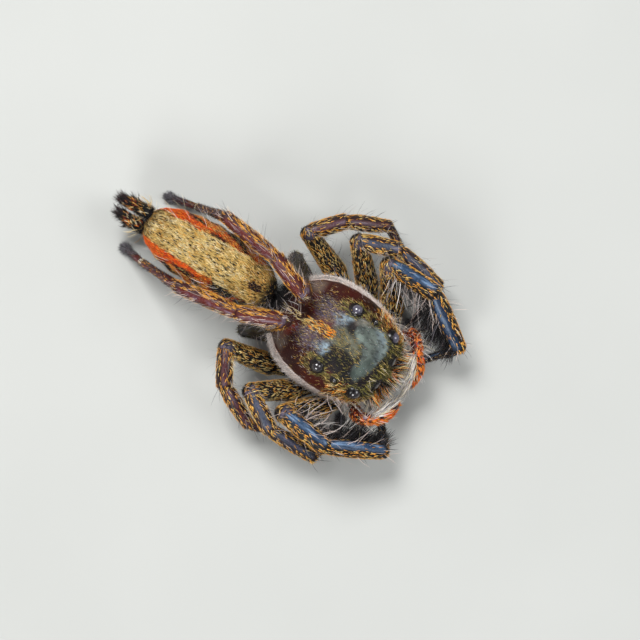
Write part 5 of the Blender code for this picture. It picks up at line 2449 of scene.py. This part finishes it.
    def claws(self) -> list[Hide]:
        """The two small claws at the end of the toe.

        Returns:
            Their skin.
        """
        *_, foot, toe = self.joints()
        way = unit(toe - foot)
        flat = unit(way * (1, 1, 0))
        aside = unit(np.cross(UP, way))
        hides = []
        for sign in (-1, 1):
            root = toe + way * 0.02 + aside * 0.05 * sign + UP * 0.03
            middle = root + flat * 0.14 + UP * 0.03
            tip = root + flat * 0.20 - UP * 0.07
            tip[2] = max(tip[2], 0.02)
            hides.append(limb(f"{self.name}_claw", (root, middle, tip), (0.028, 0.022, 0.014, 0.005), 14, 12))
        return on_side(hides, self.side)


@dataclass
class Studio:
    """The pale floor, the soft lights and the camera almost straight above the animal."""

    distance: float = 155.0
    lens: float = 209.0
    tilt_right_deg: float = 3.0
    aim: tuple[float, float, float] = (-1.036, 0.211, 3.6)
    image_right: tuple[float, float, float] = (0.813, 0.582, 0.0)
    image_up: tuple[float, float, float] = (-0.582, 0.813, 0.0)
    lit: tuple[float, float, float] = (-2.0, 0.0, 2.0)
    sky: tuple[float, float, float, float] = (0.95, 0.97, 1.0, 1.0)
    sky_strength: float = 0.17

    def floor(self) -> None:
        """Lay the floor."""
        corners = np.array(((-1, -1, 0), (1, -1, 0), (1, 1, 0), (-1, 1, 0))) * FLOOR_HALF
        mesh = bpy.data.meshes.new("floor")
        mesh.from_pydata((corners * METRES_PER_MM).tolist(), [], [(0, 1, 2, 3)])
        mesh.materials.append(FloorFinish().material())
        placed("floor", mesh)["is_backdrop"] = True

    def light(self, name: str, spot_at: Sequence[float], size: float, watts: float, warmth: float,
              place: Place) -> None:
        """Hang a soft square light that faces the animal.

        Args:
            name: The light's name.
            spot_at: Its place: right in the image, up in the image, and height, in mm.
            size: Its side, in mm.
            watts: Its power.
            warmth: Above 0 for a warmer light, below for a cooler one.
            place: Where the animal lies in the row frame.
        """
        data = bpy.data.lights.new(name, "AREA")
        data.size = size * METRES_PER_MM
        data.energy = watts
        data.color = (1.0 + 0.08 * warmth, 1.0, 1.0 - 0.08 * warmth)
        lamp = placed(name, data)
        right, up, height = spot_at
        at = np.array(self.image_right) * right + np.array(self.image_up) * up + UP * height
        lit = np.array(self.lit)
        aim = Vector(place.row(lit))
        lamp.location = Vector(place.row(at + lit * (1, 1, 0)))
        lamp.rotation_euler = (aim - lamp.location).to_track_quat("-Z", "Y").to_euler()

    def camera(self, place: Place) -> None:
        """Set the camera where the photograph was taken from.

        Args:
            place: Where the animal lies in the row frame.
        """
        data = bpy.data.cameras.new("camera")
        data.lens = self.lens
        data.sensor_width = 36.0
        data.clip_start = 0.005
        data.clip_end = 5.0
        camera = placed("camera", data)
        tilt = math.radians(self.tilt_right_deg)
        back = Vector((0.0, -math.sin(tilt), math.cos(tilt)))
        right = Vector(self.image_right)
        right = (right - back * right.dot(back)).normalized()
        up = back.cross(right)
        turn = Matrix((right, up, back)).transposed()
        aim = Vector(place.row(np.array(self.aim)))
        camera.matrix_world = Matrix.Translation(aim + back * self.distance * METRES_PER_MM) @ turn.to_4x4()
        bpy.context.scene.camera = camera

    def world(self) -> None:
        """Fill the shadows with pale light from all round."""
        world = bpy.data.worlds.new("studio")
        bpy.context.scene.world = world
        world.use_nodes = True
        background = world.node_tree.nodes["Background"]
        background.inputs["Color"].default_value = self.sky
        background.inputs["Strength"].default_value = self.sky_strength

    def set_up(self, place: Place) -> None:
        """Make the whole studio.

        Args:
            place: Where the animal lies in the row frame.
        """
        bpy.context.scene.view_settings.view_transform = "Standard"
        self.floor()
        self.world()
        self.light("key_light", (-60, 110, 180), 100, 0.58, 0.1, place)
        self.light("fill_light", (150, 10, 170), 120, 0.22, -0.1, place)
        self.light("rim_light", (-90, -150, 130), 90, 0.30, 0.1, place)
        self.camera(place)


def dress_eyes(place: Place, skin: Skin) -> None:
    """Make the eight lenses, and their rims in the skin.

    Args:
        place: Where the animal lies in the row frame.
        skin: The whole skin.
    """
    finish = LensFinish("cornea")
    for eye, side in LENSES:
        eye.lens(side, place, finish)
        skin.add(eye.rim(side), lambda s: (plain(s, Paint.JET), s.level(1.0)), JAW_SHELL)


def make_claws(legs: Sequence[Leg], place: Place) -> None:
    """Make every claw as one piece.

    Args:
        legs: The eight legs.
        place: Where the animal lies in the row frame.
    """
    hides = [claw for leg in legs for claw in leg.claws()]
    mesh, _ = solid_mesh("claws", hides, place)
    write_tint(mesh, np.tile(Paint.PLUM.rgb, (len(mesh.vertices), 1)))
    write_gloss(mesh, np.ones(len(mesh.vertices)))
    mesh.materials.append(SkinFinish("claw_horn", rough=0.3, coat=0.3, depth_mm=0.002).material())
    piece("claws", mesh)


def main() -> None:
    """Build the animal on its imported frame, then the studio."""
    logging.basicConfig(level=logging.INFO, format="%(name)s: %(message)s")
    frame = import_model()
    place = Place.from_frame()
    skin = Skin()
    coats: list[Coat] = []

    head = Head()
    shield = skin.add(head.hide(), head.marks, SHELL)
    coats += head.coat(shield)
    dress_eyes(place, skin)

    abdomen = Abdomen()
    belly = skin.add(abdomen.hide(), abdomen.marks, SOFT_SKIN)
    coats += abdomen.coat(belly)
    spinnerets = [skin.add(hide, abdomen.spinneret_marks, SOFT_SKIN) for hide in abdomen.spinnerets()]
    coats.append(abdomen.brushes(spinnerets))

    underside = Underside()
    below = [skin.add(hide, underside.marks, LIMB_SHELL) for hide in underside.hides()]
    coats.append(underside.coat(below))

    mouth = Mouth()
    jaws = [skin.add(hide, mouth.jaw_marks, JAW_SHELL) for side in Side for hide in mouth.jaw(side)]
    palps = {side: [skin.add(hide, mouth.palp_marks, LIMB_SHELL) for hide in mouth.palp(side)]
        for side in Side}
    coats += mouth.coat(jaws, palps)

    legs = [Leg(number, side) for number in Leg.LENGTHS for side in Side]
    for leg in legs:
        hides = leg.hides()
        for segment, hide in hides.items():
            skin.add(hide, leg.marks(segment), LIMB_SHELL)
        coats += leg.coat(hides)
    make_claws(legs, place)

    flesh = [name for name in frame["nodes"] if not name.startswith("eye_")]
    skin.build(place, sorted(flesh))
    for coat in coats:
        coat.build(place)
    Studio().set_up(place)

    bpy.context.view_layer.update()


if __name__ == "__main__":
    main()
